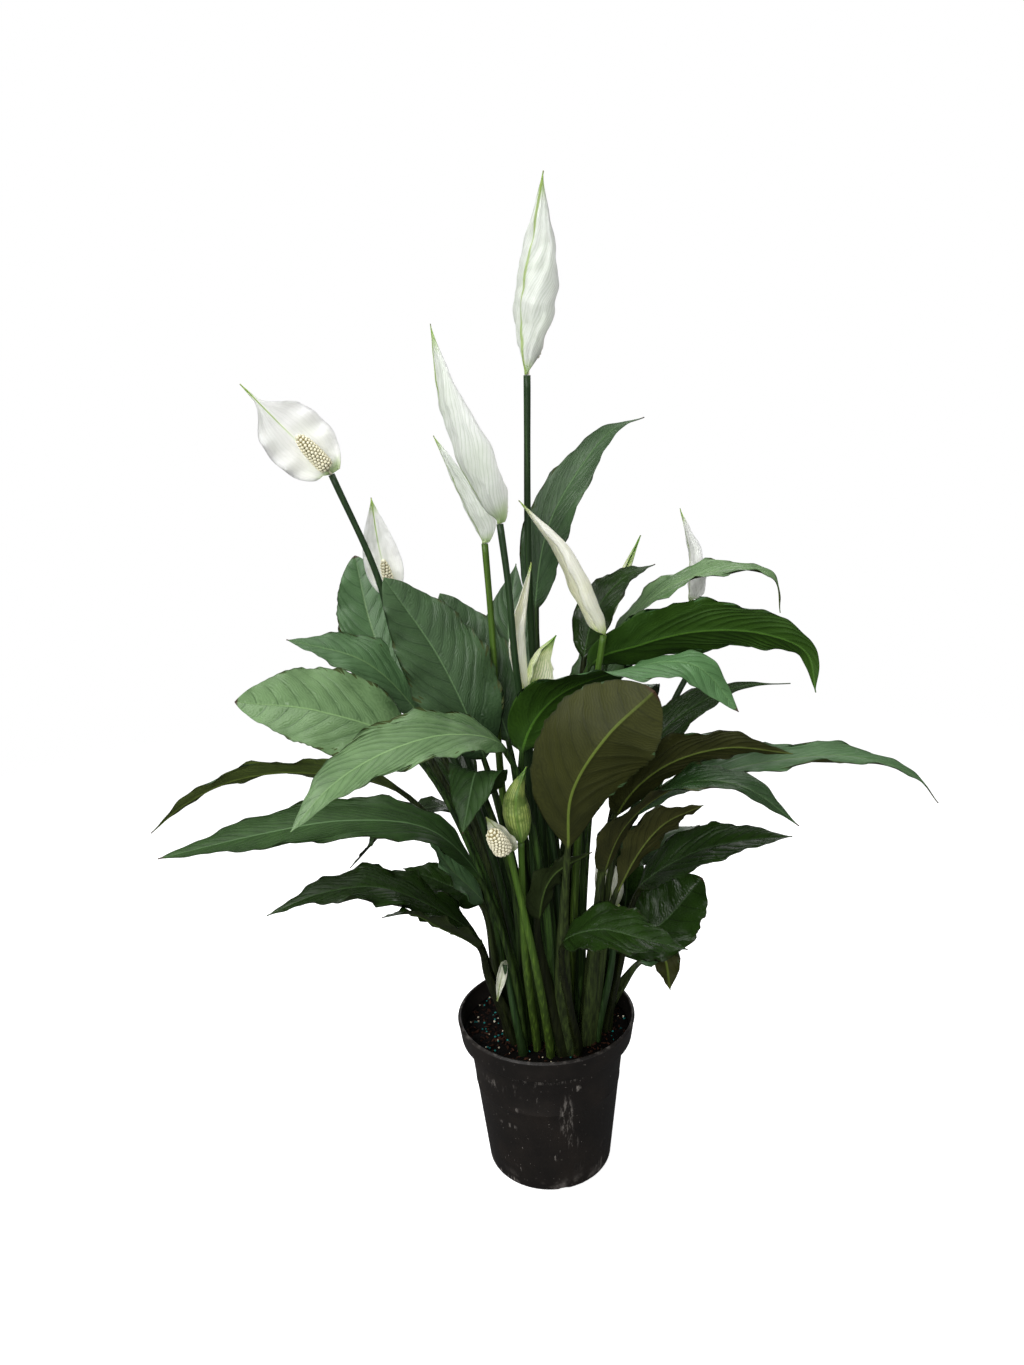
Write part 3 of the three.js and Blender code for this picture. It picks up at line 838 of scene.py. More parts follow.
@dataclass(frozen=True)
class StalkFinish:
    """A flower stalk's greens, from the soil to the bloom."""

    name: str
    foot: int
    top: int
    light: int

    STREAK = Pattern((520, 520, 18), 0.45, 0.75, 0, 0.6, rough=0.6)
    FLECK = Pattern(260, 0.66, 0.74, 0, 0.35, detail=2)
    LENGTH = (0.15, 0.9)
    DEPTH = 0.0004
    STRENGTH = 0.7
    BLUR = 0.15
    ROUGH = 0.36
    SHINE = 0.3

    def material(self) -> bpy.types.Material:
        """The stalk's material.

        Returns:
            The material.
        """
        palette = Palette(self.name)
        along, _, _ = palette.spot()
        streak = palette.grain(self.STREAK)
        face = palette.coats(
            palette.mix(palette.step(along, *self.LENGTH), self.foot, self.top),
            (palette.step(streak, *self.STREAK.steps), self.light),
            (palette.share(self.FLECK), self.foot))
        palette.bump(streak, self.DEPTH, self.STRENGTH)
        return palette.dress(face, palette.scale(streak, self.BLUR, self.ROUGH),
                             Specular_IOR_Level=self.SHINE)


class StalkKind(Enum):
    """The two greens of the flower stalks."""

    DARK = StalkFinish("stalk_dark", 0x1A2A10, 0x1D3218, 0x365226)
    BRIGHT = StalkFinish("stalk_bright", 0x2A3A12, 0x3E5A1C, 0x62802C)


@dataclass(frozen=True)
class SpikeFinish:
    """The cream of the tiny flowers, and the ochre between them."""

    name: str = "spike_cream"
    crown: int = 0xF1ECCF
    between: int = 0x867A46
    crown_from: tuple[float, float] = (0.22, 0.8)
    speck: Pattern = Pattern(1500, 0.6, 0.72, 0, 0.35, detail=2)
    grain: Pattern = Pattern(2200, detail=2)
    depth: float = 0.00015
    strength: float = 0.7
    rough: float = 0.62

    def material(self) -> bpy.types.Material:
        """The spike's material.

        Returns:
            The material.
        """
        palette = Palette(self.name)
        height = palette.step(palette.number("hue"), *self.crown_from)
        face = palette.coats(palette.mix(height, self.between, self.crown),
                             (palette.share(self.speck), self.between))
        palette.bump(palette.grain(self.grain), self.depth, self.strength)
        return palette.dress(face, self.rough)


class Mark(NamedTuple):
    """A scuff on the pot's front: its middle, half its size in millimetres, and its strength."""

    x: float
    z: float
    wide: float
    tall: float
    strength: float


@dataclass(frozen=True)
class PotFinish:
    """Thin black moulded plastic, rubbed pale along its edges and smeared with dried mud."""

    name: str = "pot_plastic"
    base: int = 0x110E0C
    worn: int = 0x241E19
    chalk: int = 0x8C8680
    rim_height: float = 0.16
    marks: tuple[Mark, ...] = (
        Mark(15, 88, 8, 30, 0.42), Mark(20, 60, 6, 14, 0.36), Mark(-54, 118, 9, 5, 0.5),
        Mark(-40, 74, 9, 3, 0.5), Mark(-12, 106, 2, 9, 0.8), Mark(24, 121, 5, 4, 0.8),
        Mark(-44, 6, 14, 5, 0.8), Mark(46, 14, 6, 9, 0.4), Mark(-32, 24, 3, 9, 0.5),
        Mark(-30, 96, 5, 3, 0.4), Mark(4, 44, 3, 6, 0.5), Mark(0, 132, 40, 3, 0.25))

    CLOUD = Pattern(22, 0.35, 0.8, 0, 0.8, detail=5, rough=0.65)
    STREAKS = Pattern((330, 330, 55), 0.5, 0.62, detail=4, rough=0.7, turn=(0, 0.2, 0))
    FRONT = (-0.02, 0.0, 1, 0)
    MARK_EDGE = (0.5, 1.1)
    RUB = Pattern(120, 0.48, 0.7)
    RUB_DEPTH = 0.003
    RUB_STRENGTH = 0.3
    SMEAR = Pattern((150, 150, 34), 0.56, 0.72, detail=5, rough=0.7, turn=(0, 0.25, 0))
    SMEARED = Pattern(16, 0.6, 0.72, 0, 0.5, detail=2)
    SCRATCH = Pattern((900, 900, 60), 0.71, 0.76, detail=2, turn=(0.5, 0.6, 0))
    SCRATCHED = Pattern(26, 0.52, 0.66, 0, 0.55, detail=2)
    SPECK = Pattern(520, 0.73, 0.77, 0, 0.8, detail=2)
    SPLASH = Pattern(34, 0.5, 0.68, 0, 0.6, detail=4, rough=0.7)
    SPLASH_HEIGHT = (0.0, 0.022, 1, 0)
    GRAIN = Pattern(1400, detail=2)
    GRAIN_RELIEF = 0.3
    DIRT_RELIEF = 0.7
    DEPTH = 0.00018
    STRENGTH = 0.6
    BLUR = 0.22
    ROUGH = 0.4
    DIRT_ROUGH = 0.25
    SHINE = 0.32

    def marked(self, palette: Palette, x: Socket, y: Socket, z: Socket) -> Socket:
        """The scuffs and smears on the side that looks to the front.

        Args:
            palette: the pot's palette.
            x: a point's place to the right.
            y: its place towards the back.
            z: its height.

        Returns:
            How chalky each point is.
        """
        shares = []
        for mark in self.marks:
            beside = palette.math("DIVIDE", palette.math("SUBTRACT", x, mark.x * MM),
                                  mark.wide * MM)
            above = palette.math("DIVIDE", palette.math("SUBTRACT", z, mark.z * MM),
                                 mark.tall * MM)
            apart = palette.math("SQRT", palette.math("ADD", palette.product(beside, beside),
                                                      palette.product(above, above)))
            shares.append(palette.step(apart, *self.MARK_EDGE, mark.strength, 0))
        return palette.product(palette.largest(*shares), palette.step(y, *self.FRONT),
                               palette.share(self.STREAKS))

    def material(self) -> bpy.types.Material:
        """The pot's material.

        Returns:
            The material.
        """
        palette = Palette(self.name)
        x, y, height = palette.parts(palette.place)
        cloud = palette.grain(self.CLOUD)
        rub = palette.product(palette.step(height, self.rim_height - self.RUB_DEPTH,
                                           self.rim_height, 0, self.RUB_STRENGTH),
                              palette.share(self.RUB))
        dirt = palette.largest(
            self.marked(palette, x, y, height),
            palette.product(palette.share(self.SMEAR), palette.share(self.SMEARED)),
            palette.product(palette.share(self.SCRATCH), palette.share(self.SCRATCHED)),
            palette.share(self.SPECK),
            palette.product(palette.step(height, *self.SPLASH_HEIGHT),
                            palette.share(self.SPLASH)))
        face = palette.coats(
            palette.mix(palette.step(cloud, *self.CLOUD.steps), self.base, self.worn),
            (rub, self.chalk), (dirt, self.chalk))
        relief = palette.scale(dirt, self.DIRT_RELIEF,
                               palette.scale(palette.grain(self.GRAIN), self.GRAIN_RELIEF))
        palette.bump(relief, self.DEPTH, self.STRENGTH)
        rough = palette.scale(dirt, self.DIRT_ROUGH, palette.scale(cloud, self.BLUR, self.ROUGH))
        return palette.dress(face, rough, Specular_IOR_Level=self.SHINE)


@dataclass(frozen=True)
class EarthFinish:
    """One material of the potting mix: the peat itself, or one of the bits that lie on it."""

    name: str
    dark: int
    light: int
    rough: float = 0.9
    scale: float = 420.0

    LUMP_DETAIL = 5
    LUMP_ROUGH = 0.7
    LIGHT = (0.15, 0.8)
    DEPTH = 0.0012
    SHINE = 0.1

    def material(self) -> bpy.types.Material:
        """The material, whose lumps and hues vary from bit to bit.

        Returns:
            The material.
        """
        palette = Palette(self.name)
        lump = palette.grain(Pattern(self.scale, detail=self.LUMP_DETAIL, rough=self.LUMP_ROUGH))
        light = palette.scale(palette.math("ADD", palette.number("hue"), lump), 0.5)
        face = palette.mix(palette.step(light, *self.LIGHT), self.dark, self.light)
        palette.bump(lump, self.DEPTH)
        return palette.dress(face, self.rough, Specular_IOR_Level=self.SHINE)


class EarthKind(Enum):
    """What the potting mix shows: peat, bark, and grains of fertiliser and perlite."""

    PEAT = EarthFinish("soil_peat", 0x060504, 0x1A130F)
    BARK = EarthFinish("soil_bark", 0x0F0907, 0x40271B, 0.85, 260.0)
    TEAL = EarthFinish("soil_fertiliser", 0x14595A, 0x2B8C86, 0.5, 300.0)
    PALE = EarthFinish("soil_perlite", 0xA39A80, 0xE6DFC8, 0.7, 300.0)


# ---- the pot and the potting mix --------------------------------------------------------------


@dataclass
class Pot:
    """The nursery pot: a tapered wall, a ledge under a wide skirt and notches in its foot."""

    rim_radius: float
    height: float
    base_radius: float = 60.0
    wall: float = 1.7
    skirt: float = 22.0
    skirt_foot_radius: float = 82.0
    ledge_radius: float = 74.3
    floor: float = 2.4
    foot_round: float = 7.0
    lip: float = 1.1
    notches: int = 5
    notch_width: float = 12.0
    notch_height: float = 3.6
    notch_depth: float = 8.0
    first_notch: float = -80.0
    steps: int = 200
    finish: PotFinish = field(default_factory=PotFinish)

    SOLE_LIFT = 0.6
    SOLE_EDGE = (6, 5)
    FOOT_ARC_STEPS = 6
    ARC_STEPS = 3
    WALL_END = 2
    WALL_STOPS = (0.2, 0.4, 0.58)
    BEAD_STOPS = ((0.66, 0), (0.667, 0.35), (0.68, 0.35), (0.687, 0), (0.85, 0))
    LEDGE_ROUND = 1.6
    SKIRT_ROUND = 1.2
    UNDER_LEDGE = 3
    RIM_NECK = (0.7, 4.2)
    LIP_BELOW = 1
    LIP_INSIDE = 2.1
    RIM_INSIDE = (3.2, 4)
    FLOOR_ROUND = (6, 4)
    NOTCH_EDGE = (0.55, 1.05)
    NOTCH_RUN = 3
    BULGE = 0.35
    BULGE_SIZE = 45
    BULGE_FROM = (20, 60)

    @classmethod
    def from_frame(cls) -> "Pot":
        """The pot with the rim and the height of its solid."""
        low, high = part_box("pot")
        return cls(rim_radius=(high[0] - low[0]) / 2 / MM, height=high[2] / MM)

    @property
    def skirt_foot(self) -> float:
        """Height of the skirt's lower edge."""
        return self.height - self.skirt

    def profile(self) -> list[tuple[float, float]]:
        """The pot's section, from the middle of its foot, over the rim, to its inner floor.

        Returns:
            Points (radius, height).
        """
        foot = self.foot_round
        lean = math.degrees(math.atan2(self.ledge_radius - self.base_radius, self.skirt_foot))
        wall_end = self.skirt_foot - self.WALL_END
        wall = [(lerp(self.base_radius, self.ledge_radius, t), lerp(foot, wall_end, t))
                for t in self.WALL_STOPS]
        bead = [(lerp(self.base_radius, self.ledge_radius, t) + out, self.skirt_foot * t)
                for t, out in self.BEAD_STOPS]
        ledge, skirt, rim = self.ledge_radius, self.skirt_foot_radius, self.rim_radius
        top, under, steps = self.height, self.skirt_foot - self.UNDER_LEDGE, self.ARC_STEPS
        turned_in, turned_out = self.LEDGE_ROUND, self.SKIRT_ROUND
        return [
            (0, self.SOLE_LIFT), (self.base_radius - foot - self.SOLE_EDGE[0], self.SOLE_LIFT),
            (self.base_radius - foot - self.SOLE_EDGE[1], 0),
            *arc((self.base_radius - foot, foot), foot, -90, -lean, self.FOOT_ARC_STEPS),
            *wall, *bead, (ledge, under),
            *arc((ledge + turned_in, self.skirt_foot - turned_in), turned_in, 180, 90, steps),
            *arc((skirt - turned_out, self.skirt_foot + turned_out), turned_out, -90, 0, steps),
            (lerp(skirt, rim, 0.5), top - self.skirt / 2),
            (rim - self.RIM_NECK[0], top - self.RIM_NECK[1]),
            *arc((rim - self.lip, top - self.lip - self.LIP_BELOW), self.lip, 0, 90, steps),
            *arc((rim - self.LIP_INSIDE, top - self.lip), self.lip, 60, 180, steps),
            (rim - self.RIM_INSIDE[0], top - self.RIM_INSIDE[1]),
            (skirt - self.wall, self.skirt_foot + self.wall), (ledge - self.wall, under),
            (self.base_radius - self.wall, self.floor + self.FLOOR_ROUND[1]),
            (self.base_radius - self.FLOOR_ROUND[0], self.floor), (0, self.floor),
        ]

    def cut_notches(self, ring: Ring) -> None:
        """Raises the foot's edge where water runs out.

        Args:
            ring: the pot's vertices.
        """
        inner = self.base_radius - self.notch_depth
        for vert in ring:
            radius = math.hypot(vert.co.x, vert.co.y)
            if vert.co.z > self.notch_height or radius < inner:
                continue
            turn = math.degrees(math.atan2(vert.co.y, vert.co.x)) - self.first_notch
            pitch = 360 / self.notches
            away = (turn + pitch / 2) % pitch - pitch / 2
            aside = abs(math.radians(away)) * self.base_radius / (self.notch_width / 2)
            raised = self.notch_height * (1 - smooth(*self.NOTCH_EDGE, aside))
            vert.co.z = max(vert.co.z, raised * smooth(inner, inner + self.NOTCH_RUN, radius))

    def build(self) -> bpy.types.Object:
        """Makes the pot.

        Returns:
            The piece.
        """
        draft = Draft()
        ring = draft.revolve(self.profile(), self.steps)
        self.cut_notches(ring)
        for vert in ring:
            bulge = noise.noise(vert.co / self.BULGE_SIZE) * self.BULGE
            bulge *= smooth(*self.BULGE_FROM, vert.co.z)
            away = Vector((vert.co.x, vert.co.y, 0)).normalized()
            vert.co += away * bulge
        piece = draft.finish("nursery_pot", [self.finish.material()])
        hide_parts("pot")
        return piece


SOIL_LEVEL = 141.0
SOIL_CROWN = 3.0
STEM_DEPTH = 14.0
STEM_CLEAR = 2.0


@dataclass
class PottingMix:
    """The soil: a low crown of peat, strewn with bark, fertiliser and perlite."""

    top: float = SOIL_LEVEL
    crown: float = SOIL_CROWN
    radius: float = 79.9
    ledge_radius: float = 72.2
    floor_radius: float = 57.6
    steps: int = 150
    rings: int = 34
    lumps: float = 2.3
    seed: int = 7
    strewn: dict[EarthKind, int] = field(default_factory=lambda: {
        EarthKind.BARK: 620, EarthKind.TEAL: 130, EarthKind.PALE: 70})

    LUMP_SIZES = ((11, 1.0), (4, 0.6), (1.7, 0.35))
    SMOOTH_EDGE = 5
    CLEAR_EDGE = 3
    BARK_SIZE = ((1.2, 4.2), (0.7, 1.9), (0.35, 0.9))
    BARK_TILT = 0.45
    GRAIN_SHAPE = (1, 1, 0.9)
    GRAIN_SIZE = (0.75, 1.25)
    RAISED = 0.45
    KNOBBLY = 0.22
    LEDGE_DROP = 5.7
    SOLE_EDGE = 5.6
    SOLE = 2.8

    def level(self, x: float, y: float) -> float:
        """Height of the surface at a place.

        Args:
            x: how far right it is.
            y: how far back it is.

        Returns:
            The height.
        """
        from_middle = math.hypot(x, y)
        rise = self.top + self.crown * (1 - (from_middle / self.radius) ** 2)
        place = Vector((x, y, 0))
        rough = sum(height * noise.noise(place / size) for size, height in self.LUMP_SIZES)
        edge = smooth(self.radius, self.radius - self.SMOOTH_EDGE, from_middle)
        return rise + self.lumps * rough * edge

    def strew(self, draft: Draft, bit: Ring, kind: EarthKind, slot: int,
              dice: random.Random) -> None:
        """Drops one bit on the surface.

        Args:
            draft: the mesh that it joins.
            bit: the body that it is a copy of.
            kind: what it is.
            slot: number of its material.
            dice: the source of its chances.
        """
        reach = (self.radius - self.CLEAR_EDGE) * math.sqrt(dice.random())
        angle = dice.uniform(0, TURN)
        x, y = reach * math.cos(angle), reach * math.sin(angle)
        if kind is EarthKind.BARK:
            size = Vector([dice.uniform(*limits) for limits in self.BARK_SIZE])
            turn = Euler((dice.gauss(0, self.BARK_TILT), dice.gauss(0, self.BARK_TILT),
                          dice.uniform(0, TURN)))
        else:
            size = Vector(self.GRAIN_SHAPE) * dice.uniform(*self.GRAIN_SIZE)
            turn = Euler((0, 0, 0))
        middle = Vector((x, y, self.level(x, y) + self.RAISED * size.z))
        place = Matrix.LocRotScale(middle, turn, size)
        hue = dice.random()
        for vert in draft.stamp(bit, place):
            vert[draft.hue] = hue
            vert.co += self.KNOBBLY * size.z * noise.noise_vector(vert.co)
            for face in vert.link_faces:
                face.material_index = slot

    def build(self) -> bpy.types.Object:
        """Makes the soil and what lies on it.

        Returns:
            The piece.
        """
        draft = Draft()
        surface = [(self.radius * k / self.rings, self.top) for k in range(self.rings + 1)]
        profile = [*surface, (self.ledge_radius, self.top - self.LEDGE_DROP),
                   (self.floor_radius, self.SOLE_EDGE), (0, self.SOLE)]
        for vert in draft.revolve(profile, self.steps):
            if vert.co.z > self.top - 1:
                vert.co.z = self.level(vert.co.x, vert.co.y)
        dice = random.Random(self.seed)
        noise.seed_set(self.seed)
        bit = draft.ball(False)
        for slot, (kind, count) in enumerate(self.strewn.items(), start=1):
            for _ in range(count):
                self.strew(draft, bit, kind, slot, dice)
        draft.drop(bit)
        kinds = [EarthKind.PEAT, *self.strewn]
        piece = draft.finish("potting_mix", [kind.value.material() for kind in kinds])
        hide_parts("soil")
        return piece


# ---- shoots -----------------------------------------------------------------------------------


def shoot_curve(root: tuple[float, float], points: Sequence[Point]) -> Curve:
    """The curve of a shoot: up out of the soil, then through its points.

    Args:
        root: where it leaves the soil, seen from above.
        points: the points that it passes.

    Returns:
        The curve.
    """
    deep = (*root, SOIL_LEVEL - STEM_DEPTH)
    level = (*root, SOIL_LEVEL + SOIL_CROWN + STEM_CLEAR)
    return Curve([Vector(p) for p in (deep, level, *points)])


def across_at(angle: float, gather: float) -> float:
    """Place across a blade, from 1 to -1 and back, for an angle round its skin.

    Args:
        angle: from 0 at the right margin, over the upper face at a quarter turn.
        gather: exponent above 1 that draws the columns towards the midrib.

    Returns:
        The place across.
    """
    flat = 1 - 4 * abs(angle / TURN if angle <= TURN / 2 else 1 - angle / TURN)
    return math.copysign(abs(flat) ** gather, flat)


@dataclass(frozen=True)
class Leaf:
    """One leaf: a stem that widens into a pleated blade with its rib below.

    root and the points of stem and blade are in millimetres; the stem ends where the blade starts.
    turn, roll and twist are in degrees. fold lifts the margins, by this share of the half width.
    """

    root: tuple[float, float]
    stem: tuple[Point, ...]
    blade: tuple[Point, ...]
    width: float
    turn: float = 0.0
    roll: float = 0.0
    twist: float = 0.0
    fold: float = 0.18
    wave: float = 3.0
    waves: float = 4.0
    rise: float = 0.66
    fall: float = 1.15
    kind: LeafKind = LeafKind.DEEP_SHADE

    # the stem: half widths in millimetres, and the sheath and the channel along it
    FOOT = 4.8
    TOP = 2.8
    TIP = 0.55
    STEM_GIRTH = 0.93
    SHEATH = (0.1, 1.05)
    SHEATH_WIDTH = 1.3
    SHEATH_DEPTH = 0.25
    CHANNEL = (0.25, 1.1)
    CHANNEL_END = (1.0, 0.9)
    CHANNEL_WIDTH = 0.5
    # the skin's rows and columns
    AROUND = 44
    STEM_ROWS = 22
    ROW_LENGTH = 1.35
    FEWEST_ROWS = 36
    PLACES = 300
    GATHER = 1.3
    SOFT_MARGIN = 10
    # the blade's foot, body and edge
    ROUND_FOOT = 6
    NECK = 0.87
    THICKNESS = 0.62
    EDGE = 5
    FOLD_BEND = 1.12
    # the side veins, how they sweep on, and the pleats between them
    VEIN_PITCH = 12.0
    VEIN_SPREAD = 0.075
    SWEEP = 0.8
    SWEEP_LOSS = 0.004
    SWEEP_BEND = 1.2
    SWEEP_FROM = 0.22
    PLEAT = 1.05
    PLEAT_WIDTH = 54.0
    PLEAT_GROWTH = 1.5
    PLEAT_START = 3.2
    PLEAT_END = 0.3
    PLEAT_FULL = 1.6
    PUFF = 0.7
    # the waves of the margins: EDGE_WAVES are shares of the half width, rates and starts
    MARGINS_APART = 0.35
    RIPPLE_START = 1.2
    CURL_BEND = 2.2
    FLUTTER = 0.45
    FLUTTER_BEND = 4
    FLUTTER_BEAT = (2.7, 1.3)
    EDGE_WAVES = ((0.02, 2.3, 0.7), (0.012, 6.1, 0.0))
    # the groove over the midrib, and the keel below it
    GROOVE = 0.55
    GROOVE_WIDTH = 1.1
    KEEL_TIP = 0.25
    KEEL_BEND = 0.75
    KEEL_WIDTH = (0.6, 0.5)

    def stem_offset(self, share: float, angle: float) -> tuple[float, float]:
        """A point of the stem's skin, with the sheath that widens its lower part.

        Args:
            share: share of the stem's length.
            angle: angle round the stem.

        Returns:
            The offsets to the side and upwards.
        """
        radius = lerp(self.FOOT, self.TOP, share) * self.STEM_GIRTH
        wing = 1 - smooth(*self.SHEATH, share)
        up = radius * math.sin(angle)
        if up > 0:
            channel = lerp(*self.CHANNEL, wing) * smooth(*self.CHANNEL_END, share)
            up *= 1 - channel * math.exp(-((math.cos(angle) / self.CHANNEL_WIDTH) ** 2))
        width = radius * (1 + self.SHEATH_WIDTH * wing)
        return width * math.cos(angle), up * (1 + self.SHEATH_DEPTH * wing)

    def swept(self, s: float, out: float) -> float:
        """Where a row that leaves the midrib at s has come to, as the side veins sweep on.

        Args:
            s: share of the blade's length at the midrib.
            out: how far out to the margin.

        Returns:
            The share of the blade's length there.
        """
        sweep = self.SWEEP - self.SWEEP_LOSS * self.width
        return s + sweep * out**self.SWEEP_BEND * (1 - s) * smooth(0, self.SWEEP_FROM, s)

    def blade_offset(self, s: float, angle: float, vein: float) -> tuple[float, float]:
        """A point of the blade's skin.

        Args:
            s: share of the blade's length.
            angle: angle round the blade.
            vein: count of side veins there.

        Returns:
            The offsets to the side and upwards.
        """
        share = outline(s, self.rise, self.fall)
        half = max(self.width / 2 * share, lerp(self.TOP * self.NECK, self.TIP, s))
        foot = (1 - s) ** self.ROUND_FOOT
        t = across_at(angle, self.GATHER)
        out = abs(t)
        apart = self.MARGINS_APART if t > 0 else 0.0
        beat = TURN * (self.waves * s + apart)
        ripple = self.wave * min(1.0, share * self.RIPPLE_START)
        curl = ripple * out**self.CURL_BEND * math.sin(beat)
        rate, start = self.FLUTTER_BEAT
        curl += self.FLUTTER * ripple * out**self.FLUTTER_BEND * math.sin(rate * beat + start)
        puff = abs(math.sin(math.pi * vein)) ** self.PUFF - 0.5
        pleat = self.PLEAT * min(1.0, self.width / self.PLEAT_WIDTH) ** self.PLEAT_GROWTH
        window = min(1.0, self.PLEAT_START * out) * (1 - out) ** self.PLEAT_END
        window *= min(1.0, self.PLEAT_FULL * share)
        middle = self.fold * half * out**self.FOLD_BEND + curl + pleat * window * puff
        middle *= 1 - foot
        half *= 1 + share * sum(height * math.sin(rate * beat + start)
                                for height, rate, start in self.EDGE_WAVES)
        side = half * t
        body = 0.5 * self.THICKNESS * (1 - out**self.EDGE)
        if angle < TURN / 2:
            groove = self.GROOVE * min(1.0, 2 * share)
            flat = body - groove * math.exp(-((side / self.GROOVE_WIDTH) ** 2))
        else:
            keel = lerp(self.TOP, self.KEEL_TIP, s**self.KEEL_BEND)
            growth, least = self.KEEL_WIDTH
            flat = -body - keel * math.exp(-((side / (growth * keel + least)) ** 2))
        up = middle + lerp(flat, self.TOP * self.STEM_GIRTH * math.sin(angle), foot)
        return lerp(side, half * math.cos(angle), foot), up

    def shape(self, draft: Draft, dice: random.Random, slot: int) -> None:
        """Adds the leaf to a mesh.

        Args:
            draft: the mesh.
            dice: the source of the leaf's hue.
            slot: number of its upper face's material, which the under face's follows.
        """
        curve = shoot_curve(self.root, (*self.stem, *self.blade))
        start = curve.share(len(self.stem) + 1)
        blade_length = curve.length * (1 - start)
        blade_rows = max(self.FEWEST_ROWS, round(blade_length / self.ROW_LENGTH))
        reach = Vector(self.blade[-1]) - Vector(self.stem[-1])
        heading = math.atan2(reach.y, reach.x) + math.radians(self.turn)
        side = Vector((math.sin(heading), -math.cos(heading), 0))
        hue = dice.random()
        pitch = self.VEIN_PITCH + self.VEIN_SPREAD * self.width
        places = [frame_on(curve, lerp(start, 1, k / self.PLACES), side,
                           self.roll + self.twist * (k / self.PLACES - 0.5))
                  for k in range(self.PLACES + 1)]
        rings = draft.tube(self.STEM_ROWS + blade_rows, self.AROUND)
        for row, ring in enumerate(rings):
            at_rib = (row - self.STEM_ROWS) / blade_rows
            share = row / self.STEM_ROWS
            stem_place = frame_on(curve, min(share, 1) * start, side, self.roll - self.twist / 2)
            for column, vert in enumerate(ring):
                angle = TURN * column / self.AROUND
                across = across_at(angle, self.GATHER)
                vein = max(0.0, at_rib) * blade_length / pitch + (0.5 if across > 0 else 0.0)
                if at_rib < 0:
                    s = at_rib
                    offset = self.stem_offset(share, angle)
                    vert.co = stem_place.offset(*offset)
                else:
                    s = self.swept(at_rib, abs(across))
                    offset = self.blade_offset(s, angle, vein)
                    before = min(int(s * self.PLACES), self.PLACES - 1)
                    vert.co = places[before].offset(*offset).lerp(
                        places[before + 1].offset(*offset), s * self.PLACES - before)
                vert[draft.spot] = (s, across, abs(offset[0]))
                vert[draft.vein] = vein
                vert[draft.hue] = hue
        mark_faces(rings, self.STEM_ROWS + blade_rows // self.SOFT_MARGIN, slot)


def mark_faces(rings: Sequence[Ring], sharp_from: int, slot: int = 0) -> None:
    """Gives a skin's two faces their materials, and a sharp edge where they meet.

    Args:
        rings: the skin's rings, whose first half lies on the upper face.
        sharp_from: first ring whose margins are sharp.
        slot: number of the upper face's material, which the under face's follows.
    """
    around = len(rings[0])
    half = around // 2
    for row in range(len(rings) - 1):
        for column in range(around):
            corner = rings[row + 1][(column + 1) % around]
            for face in rings[row][column].link_faces:
                if corner in face.verts:
                    face.material_index = slot + column // half
        if row < sharp_from:
            continue
        for column in (0, half):
            for edge in rings[row][column].link_edges:
                if edge.other_vert(rings[row][column]) is rings[row + 1][column]:
                    edge.smooth = False


